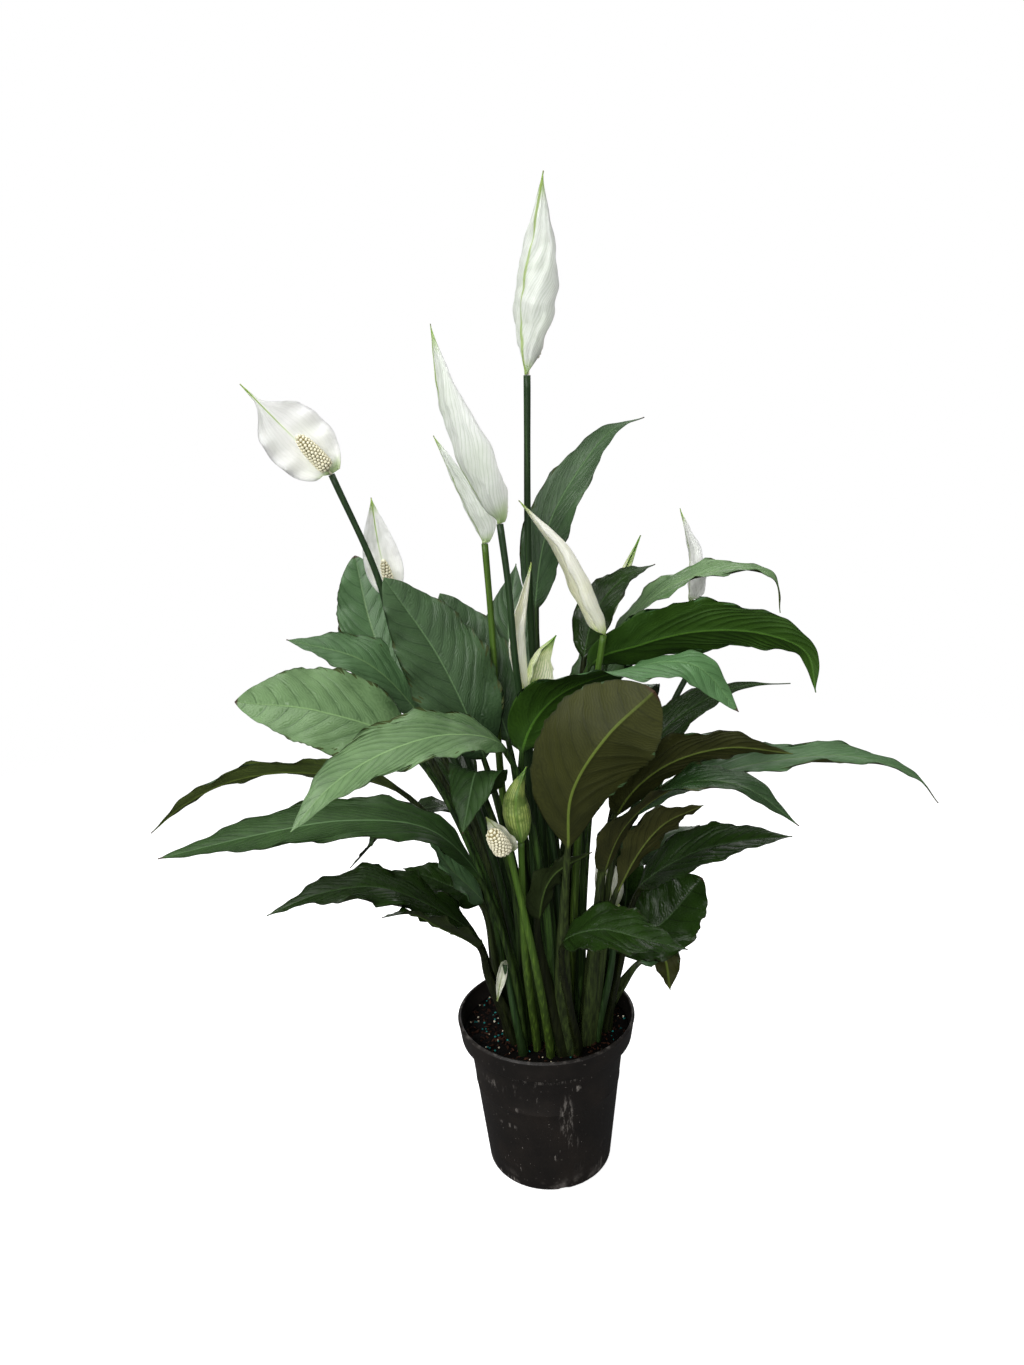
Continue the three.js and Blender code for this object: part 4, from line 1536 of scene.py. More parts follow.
@dataclass(frozen=True)
class Bloom:
    """One bloom: a stalk, a cupped bract and, where it shows, a spike of tiny flowers.

    face is the way that the bract's inside looks. cup is the angle from its middle to its edge,
    below and above. spadix is the spike's length, and stipe the bare part below it.
    """

    root: tuple[float, float]
    stem: tuple[Point, ...]
    blade: tuple[Point, ...]
    width: float
    face: Point
    cup: tuple[float, float] = (60, 35)
    ripple: float = 1.2
    waves: float = 4.0
    twist: float = 0.0
    whole: bool = False
    rise: float = 0.6
    fall: float = 1.25
    spadix: float = 0.0
    girth: float = 6.0
    lean: float = 12.0
    stipe: float = 8.0
    pleat: float = 0.3
    slant: float = 0.0
    crumple: float = 1.6
    tail: float = 0.0
    kind: BractKind = BractKind.WHITE
    stalk: StalkKind = StalkKind.DARK

    # the stalk
    STALK_FOOT = 4.4
    STALK_TOP = 2.7
    STALK_ROWS = 60
    STALK_AROUND = 16
    SWELL = 0.12
    SWELL_FROM = 0.9
    RIDGE = 0.03
    RIDGES = 4
    # where the bract and the spike sit, and the bract's skin
    GAP = 0.3
    SEAT = 1.2
    SPIKE_SEAT = 1.1
    NECK_HALF = 1.5
    NECK_LENGTH = 3.0
    TIP = 0.5
    TIGHTEST = 0.8
    AROUND = 52
    ROW_LENGTH = 1.6
    FEWEST_ROWS = 30
    GATHER = 1.1
    THICKNESS = 0.5
    EDGE = 7
    EDGE_HALF = 0.02
    RIB = (0.9, 0.2)
    RIB_WIDTH = 0.9
    # its tail, waves and pleats, and its dents, each pattern's last number their strength
    TAIL_LOSS = 0.85
    TAIL_SHORT = 0.35
    WAVE_SKEW = 0.2
    PLEATS = 2.2
    PLEAT_SLANT = 0.25
    PLEAT_EDGE = 6
    PLEAT_START = 1.5
    DENTS = ((1.7, 5.5, 9, 1.0), (4.1, 15, 5, 0.45))
    # the spike's core
    SPIKE_ROWS = 26
    SPIKE_AROUND = 20
    SPIKE_ROUND = 5
    SPIKE_END = 0.08
    SPIKE_FROM = (0.5, 0.7)
    CORE = 0.16
    STIPE_HUE = 0.75
    # its flowers
    FIRST_FLOWERS = 1.1
    FLOWER_SEAT = 0.9
    FEWEST_FLOWERS = 4
    FLOWER_PITCH = 3.1
    FLOWER_RISE = 0.86
    FLOWER_SIZE = (0.92, 1.08)
    LAST_FLOWER = 0.6
    FLOWER_HEIGHT = 0.85
    FLOWER_HUE = (0.55, 0.5)

    def curve(self) -> Curve:
        """The stalk's curve."""
        return shoot_curve(self.root, self.stem)

    def end(self) -> Frame:
        """The stalk's end, whose normal is the way that the bract's inside looks.

        Returns:
            The end's frame.
        """
        curve = self.curve()
        ahead = curve.tangent(1)
        front = square_to(Vector(self.face), ahead)
        return Frame(curve.point(1), ahead, ahead.cross(front), front)

    def shape_stalk(self, draft: Draft, dice: random.Random, slot: int) -> None:
        """Adds the stalk to a mesh.

        Args:
            draft: the mesh.
            dice: the source of its hue.
            slot: number of its material.
        """
        curve = self.curve()
        hue = dice.random()
        rings = draft.tube(self.STALK_ROWS, self.STALK_AROUND)
        for row, ring in enumerate(rings):
            u = row / self.STALK_ROWS
            place = frame_on(curve, u, Vector((1, 0, 0)), 0)
            swell = 1 + self.SWELL * smooth(self.SWELL_FROM, 1.0, u) - self.SWELL / 2
            radius = lerp(self.STALK_FOOT, self.STALK_TOP, u) * swell
            for column, vert in enumerate(ring):
                angle = TURN * column / self.STALK_AROUND
                ridge = 1 + self.RIDGE * math.cos(self.RIDGES * angle)
                vert.co = place.offset(radius * ridge * math.cos(angle),
                                       radius * ridge * math.sin(angle))
                vert[draft.spot] = (u, 0, radius)
                vert[draft.hue] = hue
        for face in {face for ring in rings for vert in ring for face in vert.link_faces}:
            face.material_index = slot

    def shape_bract(self, draft: Draft, dice: random.Random) -> None:
        """Adds the bract to a mesh.

        Args:
            draft: the mesh.
            dice: the source of its hue.
        """
        end = self.end()
        seat = -self.GAP if self.whole else self.GAP
        foot = end.at + end.ahead * seat - end.normal * self.SEAT
        curve = Curve([foot, foot + end.ahead * self.NECK_LENGTH, *map(Vector, self.blade)])
        rows = max(self.FEWEST_ROWS, round(curve.length / self.ROW_LENGTH))
        hue = dice.random()
        leant = self.PLEAT_SLANT * self.slant
        rings = draft.tube(rows, self.AROUND)
        for row, ring in enumerate(rings):
            s = row / rows
            t = curve.parameter(s)
            ahead = end.ahead if row == 0 else curve.tangent(t)
            front = Quaternion(ahead, math.radians(self.twist * s)) @ square_to(end.normal, ahead)
            place = Frame(curve.point(t), ahead, ahead.cross(front), front)
            share = outline(s, self.rise, self.fall)
            if self.tail:
                share *= 1 - self.TAIL_LOSS * smooth(1 - self.tail,
                                                     1 - self.TAIL_SHORT * self.tail, s)
            half = max(self.width / 2 * share, lerp(self.NECK_HALF, self.TIP, s))
            bend = min(math.radians(lerp(*self.cup, s)), half / self.TIGHTEST)
            radius = half / bend
            for column, vert in enumerate(ring):
                angle = TURN * column / self.AROUND
                u = across_at(angle, self.GATHER)
                wavy = self.ripple * min(1, share) * u * u * math.sin(
                    TURN * (self.waves * s + self.WAVE_SKEW * u))
                pleat = self.pleat * math.sin(TURN * (self.slant * s + (self.PLEATS + leant) * u))
                pleat *= 1 - abs(u) ** self.PLEAT_EDGE
                dents = sum(height * noise.noise(Vector((wide * u, tall * s, apart * hue)))
                            for wide, tall, apart, height in self.DENTS)
                pleat = (pleat + self.crumple * dents) * min(1, self.PLEAT_START * share)
                depth = 0.5 * self.THICKNESS * (1 - abs(u) ** self.EDGE) + self.EDGE_HALF
                if angle < TURN / 2:
                    depth = -depth
                else:
                    depth += lerp(*self.RIB, s) * math.exp(-((u * half / self.RIB_WIDTH) ** 2))
                reach = radius + depth
                vert.co = place.offset(reach * math.sin(bend * u),
                                       radius - reach * math.cos(bend * u) + wavy + pleat)
                vert[draft.spot] = (s, u, abs(u * half))
                vert[draft.vein] = self.slant * s + u * (1 + leant)
                vert[draft.hue] = hue
        mark_faces(rings, 1)

    def shape_spike(self, draft: Draft, dice: random.Random) -> None:
        """Adds the spike: a core covered with tiny blunt flowers, set in spirals.

        Args:
            draft: the mesh.
            dice: the source of the flowers' small differences.
        """
        end = self.end()
        first = (Vector(self.blade[0]) - end.at).normalized()
        side = first.cross(end.normal).normalized()
        ahead = Quaternion(side, math.radians(self.lean)) @ first
        front = side.cross(ahead)
        foot = end.at + end.ahead * self.GAP + end.normal * self.SPIKE_SEAT
        whole = self.spadix + self.stipe

        def body(along: float) -> float:
            """How far the stipe has widened into the spike."""
            start, run = self.SPIKE_FROM
            return clamp((along - self.stipe * start) / (self.stipe * run))

        def radius(along: float) -> float:
            """The spike's radius."""
            tip = math.sqrt(max(self.SPIKE_END, 1 - (along / whole) ** self.SPIKE_ROUND))
            return lerp(1, self.girth * tip, body(along))

        def middle(along: float) -> Vector:
            """A point on the spike's middle line."""
            return foot + ahead * along + end.normal * body(along) * (self.girth - 1)

        for row, ring in enumerate(draft.tube(self.SPIKE_ROWS, self.SPIKE_AROUND)):
            along = row / self.SPIKE_ROWS * whole
            core = radius(along) * (1 - self.CORE * body(along))
            for column, vert in enumerate(ring):
                angle = TURN * column / self.SPIKE_AROUND
                vert.co = middle(along) + core * (side * math.cos(angle) - front * math.sin(angle))
                vert[draft.hue] = self.STIPE_HUE * (1 - body(along))
        knob = draft.ball(True)
        level = self.stipe * self.FIRST_FLOWERS
        turn = 0.0
        while level < whole:
            girth = radius(level) * self.FLOWER_SEAT
            count = max(self.FEWEST_FLOWERS, round(TURN * girth / self.FLOWER_PITCH))
            for k in range(count):
                angle = TURN * (k + 0.5 * turn) / count
                out = side * math.cos(angle) + front * math.sin(angle)
                size = 0.5 * self.FLOWER_PITCH * dice.uniform(*self.FLOWER_SIZE)
                self.set_flower(draft, knob, middle(level) + out * girth, out, ahead, size)
            level += self.FLOWER_PITCH * self.FLOWER_RISE
            turn += 1
        self.set_flower(draft, knob, middle(whole), ahead, front,
                        self.LAST_FLOWER * self.FLOWER_PITCH)
        draft.drop(knob)

    def set_flower(self, draft: Draft, knob: Ring, place: Vector, out: Vector,
                   ahead: Vector, size: float) -> None:
        """Adds one tiny flower, a blunt knob that looks outwards.

        Args:
            draft: the mesh.
            knob: the body that it is a copy of.
            place: its middle.
            out: the way that it looks.
            ahead: the spike's direction.
            size: its half width.
        """
        turned = Matrix((out.cross(ahead), ahead, out)).transposed().to_4x4()
        sizes = Matrix.Diagonal((size, size, self.FLOWER_HEIGHT * size, 1))
        middle, rise = self.FLOWER_HUE
        for vert in draft.stamp(knob, Matrix.Translation(place) @ turned @ sizes):
            vert[draft.hue] = clamp(middle + rise * (vert.co - place).dot(out) / size)


class Materials:
    """The finishes of the shoots, each made once."""

    def __init__(self) -> None:
        """Starts with none made."""
        self.pairs: dict[LeafFinish | BractFinish, Pair] = {}
        self.singles: dict[StalkFinish | SpikeFinish, bpy.types.Material] = {}

    def pair(self, finish: LeafFinish | BractFinish) -> Pair:
        """The two materials of a kind of leaf or bract.

        Args:
            finish: its finish.

        Returns:
            Those of its upper or inner side and of its other side.
        """
        if finish not in self.pairs:
            self.pairs[finish] = finish.pair()
        return self.pairs[finish]

    def single(self, finish: StalkFinish | SpikeFinish) -> bpy.types.Material:
        """The material of a kind of stalk or of the spikes.

        Args:
            finish: its finish.

        Returns:
            The material.
        """
        if finish not in self.singles:
            self.singles[finish] = finish.material()
        return self.singles[finish]


MATERIALS = Materials()


@dataclass(frozen=True)
class Clump:
    """The leaves of one node, which grow from one sheath in the soil."""

    node: str
    leaves: tuple[Leaf, ...]

    def build(self) -> bpy.types.Object:
        """Makes the leaves as one piece.

        Returns:
            The piece.
        """
        draft = Draft()
        dice = random.Random(self.node)
        materials: list[bpy.types.Material] = []
        for leaf in self.leaves:
            leaf.shape(draft, dice, len(materials))
            materials.extend(MATERIALS.pair(leaf.kind.value))
        piece = draft.finish(f"{self.node}_grown", materials)
        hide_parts(self.node)
        return piece


@dataclass(frozen=True)
class Flower:
    """The pieces of one bloom: its stalk, its bract and its spike, or one closed bud."""

    node: str
    bloom: Bloom

    def build(self) -> list[bpy.types.Object]:
        """Makes the bloom's pieces.

        Returns:
            The pieces.
        """
        dice = random.Random(self.node)
        bract = MATERIALS.pair(self.bloom.kind.value)
        stalk = MATERIALS.single(self.bloom.stalk.value)
        if self.bloom.whole:
            draft = Draft()
            self.bloom.shape_stalk(draft, dice, len(bract))
            self.bloom.shape_bract(draft, dice)
            return [self.place(draft, "", "bud", [*bract, stalk])]
        parts = [("_stalk", "stalk", [stalk]), ("_spathe", "spathe", list(bract))]
        drafts = [Draft(), Draft()]
        self.bloom.shape_stalk(drafts[0], dice, 0)
        self.bloom.shape_bract(drafts[1], dice)
        if self.bloom.spadix:
            drafts.append(Draft())
            parts.append(("_spadix", "spadix", [MATERIALS.single(SpikeFinish())]))
            self.bloom.shape_spike(drafts[2], dice)
        return [self.place(draft, *part) for draft, part in zip(drafts, parts)]

    def place(self, draft: Draft, end: str, slot: str,
              materials: list[bpy.types.Material]) -> bpy.types.Object:
        """Finishes one piece of the bloom.

        Args:
            draft: its mesh.
            end: the end of its node's name.
            slot: not used.
            materials: its materials.

        Returns:
            The piece.
        """
        piece = draft.finish(f"{self.node}{end}_grown", materials)
        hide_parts(f"{self.node}{end}")
        return piece


# ---- the studio -------------------------------------------------------------------------------


@dataclass(frozen=True)
class Lamp:
    """A square soft light that looks at a point of the plant."""

    name: str
    place: Point
    size: float
    power: float
    aim: Point = (0.0, 0.0, 0.42)

    def build(self) -> bpy.types.Object:
        """Makes the light. Its place and size are in metres, its power in watts.

        Returns:
            The light.
        """
        light = bpy.data.lights.new(self.name, "AREA")
        light.shape = "SQUARE"
        light.size = self.size
        light.energy = self.power
        made = bpy.data.objects.new(self.name, light)
        made.location = self.place
        away = Vector(self.aim) - Vector(self.place)
        made.rotation_euler = away.to_track_quat("-Z", "Y").to_euler()
        bpy.context.scene.collection.objects.link(made)
        return made


@dataclass
class Studio:
    """The pale floor, the soft light and the camera."""

    eye: Point = (-20.2, -928.7, 759.2)
    pitch: float = 16.2
    roll: float = -2.26
    lens: float = 29.0
    film: float = 36.0
    floor_radius: float = 6.0
    floor_clear: float = 0.35
    floor_gone: float = 1.6
    floor_glow: float = 0.7
    sky: float = 0.22
    lamps: tuple[Lamp, ...] = (
        Lamp("key", (-2.6, -2.0, 3.7), 1.9, 128.0),
        Lamp("front", (-1.1, -4.2, 2.1), 2.4, 140.0),
        Lamp("fill", (2.6, -2.2, 1.9), 2.2, 14.0),
        Lamp("back", (0.9, 4.2, 2.0), 2.4, 46.0),
        Lamp("top", (0.2, 0.3, 2.9), 1.6, 30.0),
    )

    WHITE = (1.0, 1.0, 1.0, 1.0)
    FLOOR_SIDES = 96
    FLOOR_LIT = (0.12, 0.12, 0.12, 1.0)
    FLOOR_SEEN = (0.9, 0.9, 0.9, 1.0)
    FLOOR_ROUGH = 0.9
    FARTHEST = 50

    def floor(self) -> bpy.types.Object:
        """Makes the floor, which fades into the white around it.

        Returns:
            The floor.
        """
        mesh = bpy.data.meshes.new("floor")
        bm = bmesh.new()
        bmesh.ops.create_circle(bm, cap_ends=True, radius=self.floor_radius,
                                segments=self.FLOOR_SIDES)
        bm.to_mesh(mesh)
        bm.free()
        palette = Palette("floor_white")
        reach = palette.node("ShaderNodeVectorMath", {0: palette.place}, operation="LENGTH")
        fade = palette.step(reach.outputs["Value"], self.floor_clear, self.floor_gone, 1, 0)
        seen = palette.node("ShaderNodeLightPath").outputs["Is Camera Ray"]
        base = palette.mix(seen, self.FLOOR_LIT, self.FLOOR_SEEN)
        mesh.materials.append(palette.dress(base, self.FLOOR_ROUGH, Alpha=fade,
                                            Emission_Color=self.WHITE,
                                            Emission_Strength=palette.scale(seen,
                                                                            self.floor_glow)))
        made = bpy.data.objects.new("floor", mesh)
        bpy.context.scene.collection.objects.link(made)
        return made

    def world(self) -> None:
        """Fills the surroundings with white, which lights the plant more softly than it looks."""
        world = bpy.data.worlds.new("white")
        world.use_nodes = True
        tree = world.node_tree
        path = tree.nodes.new("ShaderNodeLightPath")
        strength = tree.nodes.new("ShaderNodeMapRange")
        strength.inputs["To Min"].default_value = self.sky
        strength.inputs["To Max"].default_value = 1.0
        tree.links.new(path.outputs["Is Camera Ray"], strength.inputs["Value"])
        background = tree.nodes["Background"]
        background.inputs["Color"].default_value = self.WHITE
        tree.links.new(strength.outputs["Result"], background.inputs["Strength"])
        bpy.context.scene.world = world

    def camera(self) -> bpy.types.Object:
        """Makes the camera, at the photograph's angle of view.

        Returns:
            The camera.
        """
        pitch, roll = math.radians(self.pitch), math.radians(self.roll)
        ahead = Vector((0, math.cos(pitch), -math.sin(pitch)))
        level = Vector((1, 0, 0))
        above = level.cross(ahead)
        right = level * math.cos(roll) + above * math.sin(roll)
        up = above * math.cos(roll) - level * math.sin(roll)
        lens = bpy.data.cameras.new("camera")
        lens.lens = self.lens
        lens.sensor_width = self.film
        lens.clip_end = self.FARTHEST
        made = bpy.data.objects.new("camera", lens)
        turned = Matrix((right, up, -ahead)).transposed().to_4x4()
        made.matrix_world = Matrix.Translation(Vector(self.eye) * MM) @ turned
        bpy.context.scene.collection.objects.link(made)
        bpy.context.scene.camera = made
        return made

    def build(self) -> None:
        """Sets up the whole studio."""
        self.floor()
        self.world()
        for lamp in self.lamps:
            lamp.build()
        self.camera()
        bpy.context.scene.view_settings.view_transform = "Standard"


# ---- the plant --------------------------------------------------------------------------------

LEAVES: dict[str, tuple[Leaf, ...]] = {
    "leaf_tall": (
        Leaf((15, 14), ((12, 24, 330), (4, 28, 549)), ((17, 35, 620), (46, 46, 668),
             (75, 54, 699), (105, 62, 709)), 44, turn=45, wave=2, kind=LeafKind.LIT_SHEEN),
    ),
    "leaf_back_left": (
        Leaf((-22, 32), ((-58, 48, 300), (-124, 62, 454)), ((-151, 82, 528), (-163, 98, 591)), 62,
             turn=-40, rise=0.6, fall=0.7, kind=LeafKind.SHADED_OLIVE),
        Leaf((-22, 32), ((-52, 44, 310), (-110, 56, 445)), ((-155, 54, 499), (-224, 46, 525)), 58,
             roll=-35, kind=LeafKind.SHADED_OLIVE),
    ),
    "leaf_centre_left": (
        Leaf((-16, -2), ((-24, -8, 300), (-48, -12, 424)), ((-81, -2, 511), (-128, 16, 584)), 84,
             turn=-40, rise=0.6, fall=0.8, kind=LeafKind.LIT_SHEEN),
    ),
    "leaf_broad_left": (
        Leaf((-28, 4), ((-56, 2, 310), (-117, -5, 436)), ((-187, -20, 476), (-256, -35, 492)), 84,
             roll=-45, wave=2, rise=0.6, fall=0.8, kind=LeafKind.SUNLIT),
    ),
    "leaf_front_arch": (
        Leaf((4, -34), ((2, -42, 300), (-28, -52, 444)), ((-68, -85, 472), (-118, -120, 473),
             (-160, -145, 456), (-192, -160, 425)), 55, roll=-28, waves=5, fall=1,
             kind=LeafKind.SUNLIT),
    ),
    "leaf_far_left": (
        Leaf((-33, 17), ((-58, 28, 270), (-131, 35, 379)), ((-209, 25, 404), (-275, 10, 405),
             (-320, 0, 387), (-353, -5, 362)), 52, roll=34, kind=LeafKind.SHADED_MOSSY),
    ),
    "leaf_long_left": (
        Leaf((-20, -34), ((-28, -46, 230), (-55, -60, 330)), ((-95, -78, 387), (-160, -95, 405),
             (-226, -108, 402), (-309, -120, 389)), 45, roll=-28, waves=5, rise=0.8, fall=1,
             kind=LeafKind.SHADED),
    ),
    "leaf_low_left": (
        Leaf((-31, -22), ((-50, -38, 224), (-60, -50, 266)), ((-100, -66, 311), (-142, -82, 338),
             (-188, -95, 340), (-231, -105, 327)), 48, roll=-22, wave=5, waves=5,
             kind=LeafKind.DEEP_SHADE),
        Leaf((-31, -22), ((-52, -42, 224), (-59, -62, 267)), ((-90, -85, 300), (-112, -105, 324),
             (-133, -125, 332)), 40, roll=14, wave=3, kind=LeafKind.DEEP_SHADE),
    ),
    "leaf_mid_left": (
        Leaf((-35, -8), ((-44, -14, 210), (-56, -20, 287)), ((-82, -25, 325), (-102, -25, 358)),
             46, turn=-20, kind=LeafKind.SHADED_OLIVE),
        Leaf((-35, -8), ((-46, 0, 200), (-58, 4, 274)), ((-94, 2, 299), (-128, 4, 313)), 44,
             roll=-30, kind=LeafKind.DEEP_SHADE),
    ),
    "leaf_hanging_left": (
        Leaf((-28, 44), ((-52, 54, 260), (-80, 62, 343)), ((-130, 72, 338), (-190, 78, 280)), 42,
             kind=LeafKind.DEEP_SHADE),
        Leaf((-28, 44), ((-44, 80, 250), (-70, 110, 330)), ((-110, 170, 380), (-150, 230, 330)),
             62, kind=LeafKind.DEEP_SHADE),
    ),
    "leaf_nose": (
        Leaf((-9, -24), ((-22, -34, 300), (-48, -46, 402)), ((-53, -78, 436), (-65, -108, 395)),
             48, kind=LeafKind.SHADED),
    ),
    "leaf_front_upright": (
        Leaf((16, -46), ((15, -66, 260), (21, -85, 368)), ((25, -99, 424), (53, -109, 474),
             (92, -101, 507)), 88, turn=-80, fold=0.3, wave=0.6, rise=0.95, fall=0.6,
             kind=LeafKind.SHADED_OLIVE),
        Leaf((16, -46), ((2, -58, 220), (-6, -62, 292)), ((8, -64, 333), (43, -62, 353)), 36,
             roll=-50, kind=LeafKind.DEEP_SHADE),
    ),
    "leaf_over_front": (
        Leaf((8, -20), ((2, -26, 300), (-14, -34, 437)), ((12, -41, 485), (70, -53, 512),
             (128, -68, 518), (163, -79, 480)), 76, roll=-16, twist=120, fold=-0.1, rise=0.7,
             fall=0.95, kind=LeafKind.BACKLIT),
    ),
    "leaf_right_dark": (
        Leaf((30, 4), ((36, 6, 330), (49, 10, 500)), ((93, 8, 518), (143, -2, 530),
             (196, -17, 529), (230, -29, 514), (237, -38, 481)), 66, roll=-56,
             kind=LeafKind.BACKLIT),
        Leaf((30, 4), ((46, 30, 340), (73, 55, 506)), ((100, 56, 539), (141, 57, 564),
             (191, 56, 572), (222, 54, 561), (227, 50, 531)), 44, roll=8, kind=LeafKind.SUNLIT),
    ),
    "leaf_upper_right": (
        Leaf((26, 26), ((34, 30, 330), (46, 33, 500)), ((58, 36, 543), (82, 44, 569),
             (113, 52, 580)), 36, turn=50, kind=LeafKind.DEEP_SHADE),
    ),
    "leaf_behind_stalks": (
        Leaf((6, 36), ((0, 38, 290), (-11, 40, 427)), ((-22, 65, 512), (-12, 100, 577)), 60,
             kind=LeafKind.LIT_SHEEN),
        Leaf((6, 36), ((-12, 35, 290), (-26, 34, 424)), ((-51, 44, 500), (-83, 62, 559)), 66,
             turn=-40, fall=0.8, kind=LeafKind.LIT_SHEEN),
    ),
    "leaf_right_hook": (
        Leaf((41, 14), ((56, 20, 260), (76, 26, 377)), ((105, 36, 413), (144, 43, 445),
             (189, 46, 463), (238, 48, 464)), 52, roll=25, fall=2, kind=LeafKind.DEEP_SHADE),
    ),
    "leaf_far_right": (
        Leaf((40, -8), ((52, -9, 240), (82, -14, 362)), ((142, -26, 402), (202, -34, 419),
             (270, -40, 423), (326, -43, 402), (346, -44, 378)), 47, roll=7, waves=5,
             kind=LeafKind.SHADED_OLIVE),
        Leaf((40, -8), ((48, -20, 250), (66, -30, 373)), ((104, -40, 419), (158, -50, 439),
             (214, -58, 434)), 56, roll=-54, kind=LeafKind.SHADED_OLIVE),
    ),
    "leaf_low_right": (
        Leaf((38, -30), ((44, -44, 240), (52, -56, 331)), ((75, -70, 387), (122, -90, 425),
             (164, -104, 424), (206, -114, 393)), 60, roll=-4, twist=50, kind=LeafKind.SHADED_TAWNY),
        Leaf((38, -30), ((48, -32, 210), (66, -34, 300)), ((104, -44, 366), (140, -52, 388)), 50,
             roll=-45, rise=1.5, kind=LeafKind.SHADED_TAWNY),
    ),
    "leaf_side_right": (
        Leaf((56, -6), ((70, -8, 210), (90, -10, 289)), ((134, -20, 327), (177, -32, 344),
             (221, -40, 350)), 58, roll=18, wave=2, kind=LeafKind.DEEP_SHADE),
        Leaf((56, -6), ((60, -5, 170), (66, -4, 222)), ((110, 2, 245), (151, 8, 289)), 72,
             roll=35, rise=0.7, fall=0.65, kind=LeafKind.DEEP_SHADE),
    ),
    "leaf_front_right": (
        Leaf((27, -42), ((20, -64, 200), (16, -85, 279)), ((46, -96, 297), (82, -108, 293),
             (117, -115, 286)), 56, roll=16, kind=LeafKind.DEEP_SHADE),
    ),
    "leaf_small_right": (
        Leaf((58, 18), ((76, 18, 175), (93, 15, 199)), ((115, 20, 202), (122, 15, 167)), 32,
             turn=70, kind=LeafKind.SHADED_OLIVE),
        Leaf((58, 18), ((70, 34, 190), (82, 42, 243)), ((84, 46, 286), (79, 50, 327)), 40,
             turn=-40, kind=LeafKind.DEEP_SHADE),
    ),
    "leaf_back_middle": (
        Leaf((6, 50), ((0, 84, 260), (-8, 120, 380)), ((-20, 190, 450), (-30, 280, 410)), 70,
             kind=LeafKind.SHADED),
        Leaf((6, 50), ((26, 66, 300), (46, 96, 400)), ((76, 160, 462), (112, 216, 430)), 58,
             kind=LeafKind.SHADED),
    ),
    "leaf_back_right": (
        Leaf((28, 46), ((42, 80, 250), (60, 110, 360)), ((100, 170, 430), (140, 240, 390)), 68,
             kind=LeafKind.SHADED),
    ),
    "leaf_back_low_right": (
        Leaf((45, 38), ((70, 60, 210), (100, 80, 270)), ((140, 122, 292), (182, 166, 236)), 56,
             kind=LeafKind.SHADED),
    ),
}

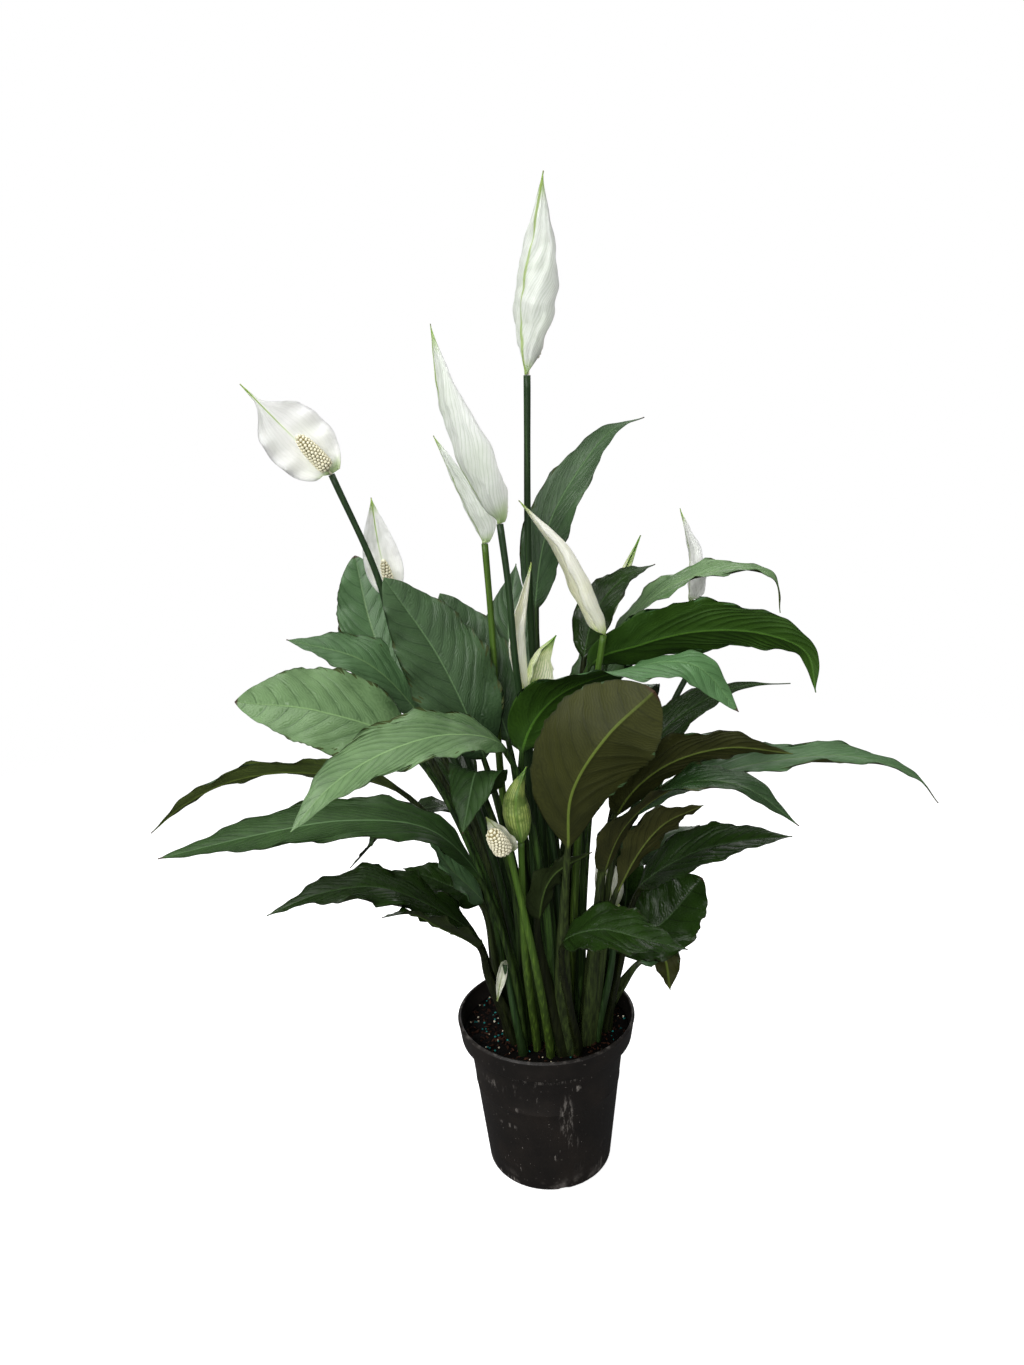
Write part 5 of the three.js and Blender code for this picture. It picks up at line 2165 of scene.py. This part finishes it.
BLOOMS: dict[str, Bloom] = {
    "bloom_tall": Bloom((4, 8), ((2, 13, 380), (0, 15, 480), (-2, 11, 596), (2, 5, 749)),
        ((-1, 5, 803), (8, 5, 844), (20, 5, 902)), 62, (1, 0.65, 0), cup=(105, 75), rise=1,
        fall=1.5, twist=25, slant=3, spadix=40, lean=6, stipe=13, pleat=1.1, crumple=3.2,
        ripple=2.2, waves=5, kind=BractKind.SHADED_WHITE),
    "bloom_left_tall": Bloom((-4, -12), ((-10, -17, 430), (-17, -26, 520), (-20, -25, 580),
        (-25, -22, 632)), ((-44, -22, 658), (-67, -22, 721), (-73, -22, 791)), 84, (1, 0.1, 0),
        cup=(95, 75), slant=2, spadix=40, pleat=1.1, crumple=2.6, kind=BractKind.SHADED_WHITE),
    "bloom_open": Bloom((-16, 18), ((-58, 30, 360), (-119, 36, 502), (-136, 33, 584),
        (-168, 29, 673)), ((-196, 23, 705), (-234, 10, 751)), 58, (0.3, -0.9, 0.3), cup=(30, 20),
        ripple=2.4, waves=4.5, rise=0.5, fall=0.9, tail=0.42, crumple=0.6, spadix=36, girth=7,
        kind=BractKind.WHITE),
    "bloom_behind": Bloom((-8, 10), ((-33, 17, 380), (-36, 21, 530), (-39, 18, 610)),
        ((-57, 18, 650), (-78, 18, 703)), 52, (1, 0.4, 0), cup=(70, 40), spadix=34,
        kind=BractKind.SHADED_WHITE, stalk=StalkKind.BRIGHT),
    "bloom_back_left": Bloom((-10, 42), ((-60, 58, 380), (-126, 64, 557)), ((-136, 66, 602),
        (-140, 66, 648)), 38, (0.2, -1, 0), cup=(50, 30), spadix=28, girth=4.5,
        kind=BractKind.WHITE),
    "bloom_rolled_right": Bloom((22, -6), ((40, -9, 400), (60, -9, 531)), ((35, -16, 602),
        (-9, -24, 651)), 46, (-0.6, -0.5, 0.5), cup=(150, 150), kind=BractKind.CREAM,
        stalk=StalkKind.BRIGHT),
    "bloom_rolled_centre": Bloom((8, -6), ((-4, -6, 350), (-8, -7, 480)), ((-11, -7, 530),
        (0, -8, 597)), 36, (-0.5, -0.9, 0), cup=(150, 150), kind=BractKind.CREAM),
    "bloom_bud_centre": Bloom((20, -20), ((14, -8, 300), (0, 0, 430), (-3, 2, 482)), ((3, 2, 511),
        (20, 2, 530)), 46, (0.5, -0.8, 0), cup=(105, 120), whole=True, kind=BractKind.STRIPED),
    "bloom_bud_back": Bloom((36, 24), ((48, 56, 400), (65, 72, 514)), ((80, 74, 553),
        (103, 76, 603)), 30, (0, -1, 0), cup=(150, 150), whole=True, kind=BractKind.STRIPED),
    "bloom_right": Bloom((46, 26), ((84, 70, 300), (133, 86, 433), (161, 95, 491),
        (154, 100, 534)), ((153, 100, 576), (143, 100, 623)), 46, (1, 0.1, 0), spadix=28,
        girth=4.5, kind=BractKind.WHITE),
    "bloom_front": Bloom((2, -50), ((-10, -80, 260), (-28, -86, 367)), ((-36, -90, 388),
        (-46, -92, 402)), 29, (-0.2, -1, 0.1), cup=(66, 56), spadix=26, girth=8,
        kind=BractKind.FADED, stalk=StalkKind.BRIGHT),
    "bloom_green_front": Bloom((-10, -38), ((-18, -66, 260), (-18, -76, 371)), ((-21, -78, 410),
        (-11, -74, 438)), 46, (0, 1, 0), cup=(110, 120), whole=True, kind=BractKind.GREEN,
        stalk=StalkKind.BRIGHT),
    "bloom_wilted": Bloom((-24, -46), ((-30, -48, 190), (-36, -46, 238)), ((-42, -48, 219),
        (-45, -50, 203)), 16, (0, -1, 0), cup=(120, 90), whole=True, kind=BractKind.FADED),
    "bloom_bud_low": Bloom((47, -26), ((60, -28, 215), (67, -25, 268)), ((68, -26, 275),
        (69, -27, 284)), 16, (0, -1, 0), cup=(150, 150), whole=True, kind=BractKind.CREAM),
    "bloom_low_right": Bloom((52, 6), ((58, 4, 200), (65, 3, 263)), ((62, 3, 294), (52, 1, 323)),
        36, (0, 1, 0), cup=(80, 60), kind=BractKind.FADED),
}


@dataclass
class PeaceLily:
    """The whole plant in its pot."""

    pot: Pot
    mix: PottingMix = field(default_factory=PottingMix)
    clumps: list[Clump] = field(
        default_factory=lambda: [Clump(node, leaves) for node, leaves in LEAVES.items()])
    flowers: list[Flower] = field(
        default_factory=lambda: [Flower(node, bloom) for node, bloom in BLOOMS.items()])

    def build(self) -> list[bpy.types.Object]:
        """Makes every piece.

        Returns:
            The pieces, in the order of their nodes.
        """
        pieces = [self.pot.build(), self.mix.build()]
        pieces.extend(clump.build() for clump in self.clumps)
        for flower in self.flowers:
            pieces.extend(flower.build())
        return pieces


def main() -> None:
    """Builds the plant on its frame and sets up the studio."""
    logging.basicConfig(level=logging.INFO, format="%(message)s")
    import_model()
    pieces = PeaceLily(pot=Pot.from_frame()).build()
    Studio().build()
    for piece in pieces:
        LOG.info("%s: %d faces", piece.name, len(piece.data.polygons))


if __name__ == "__main__":
    main()
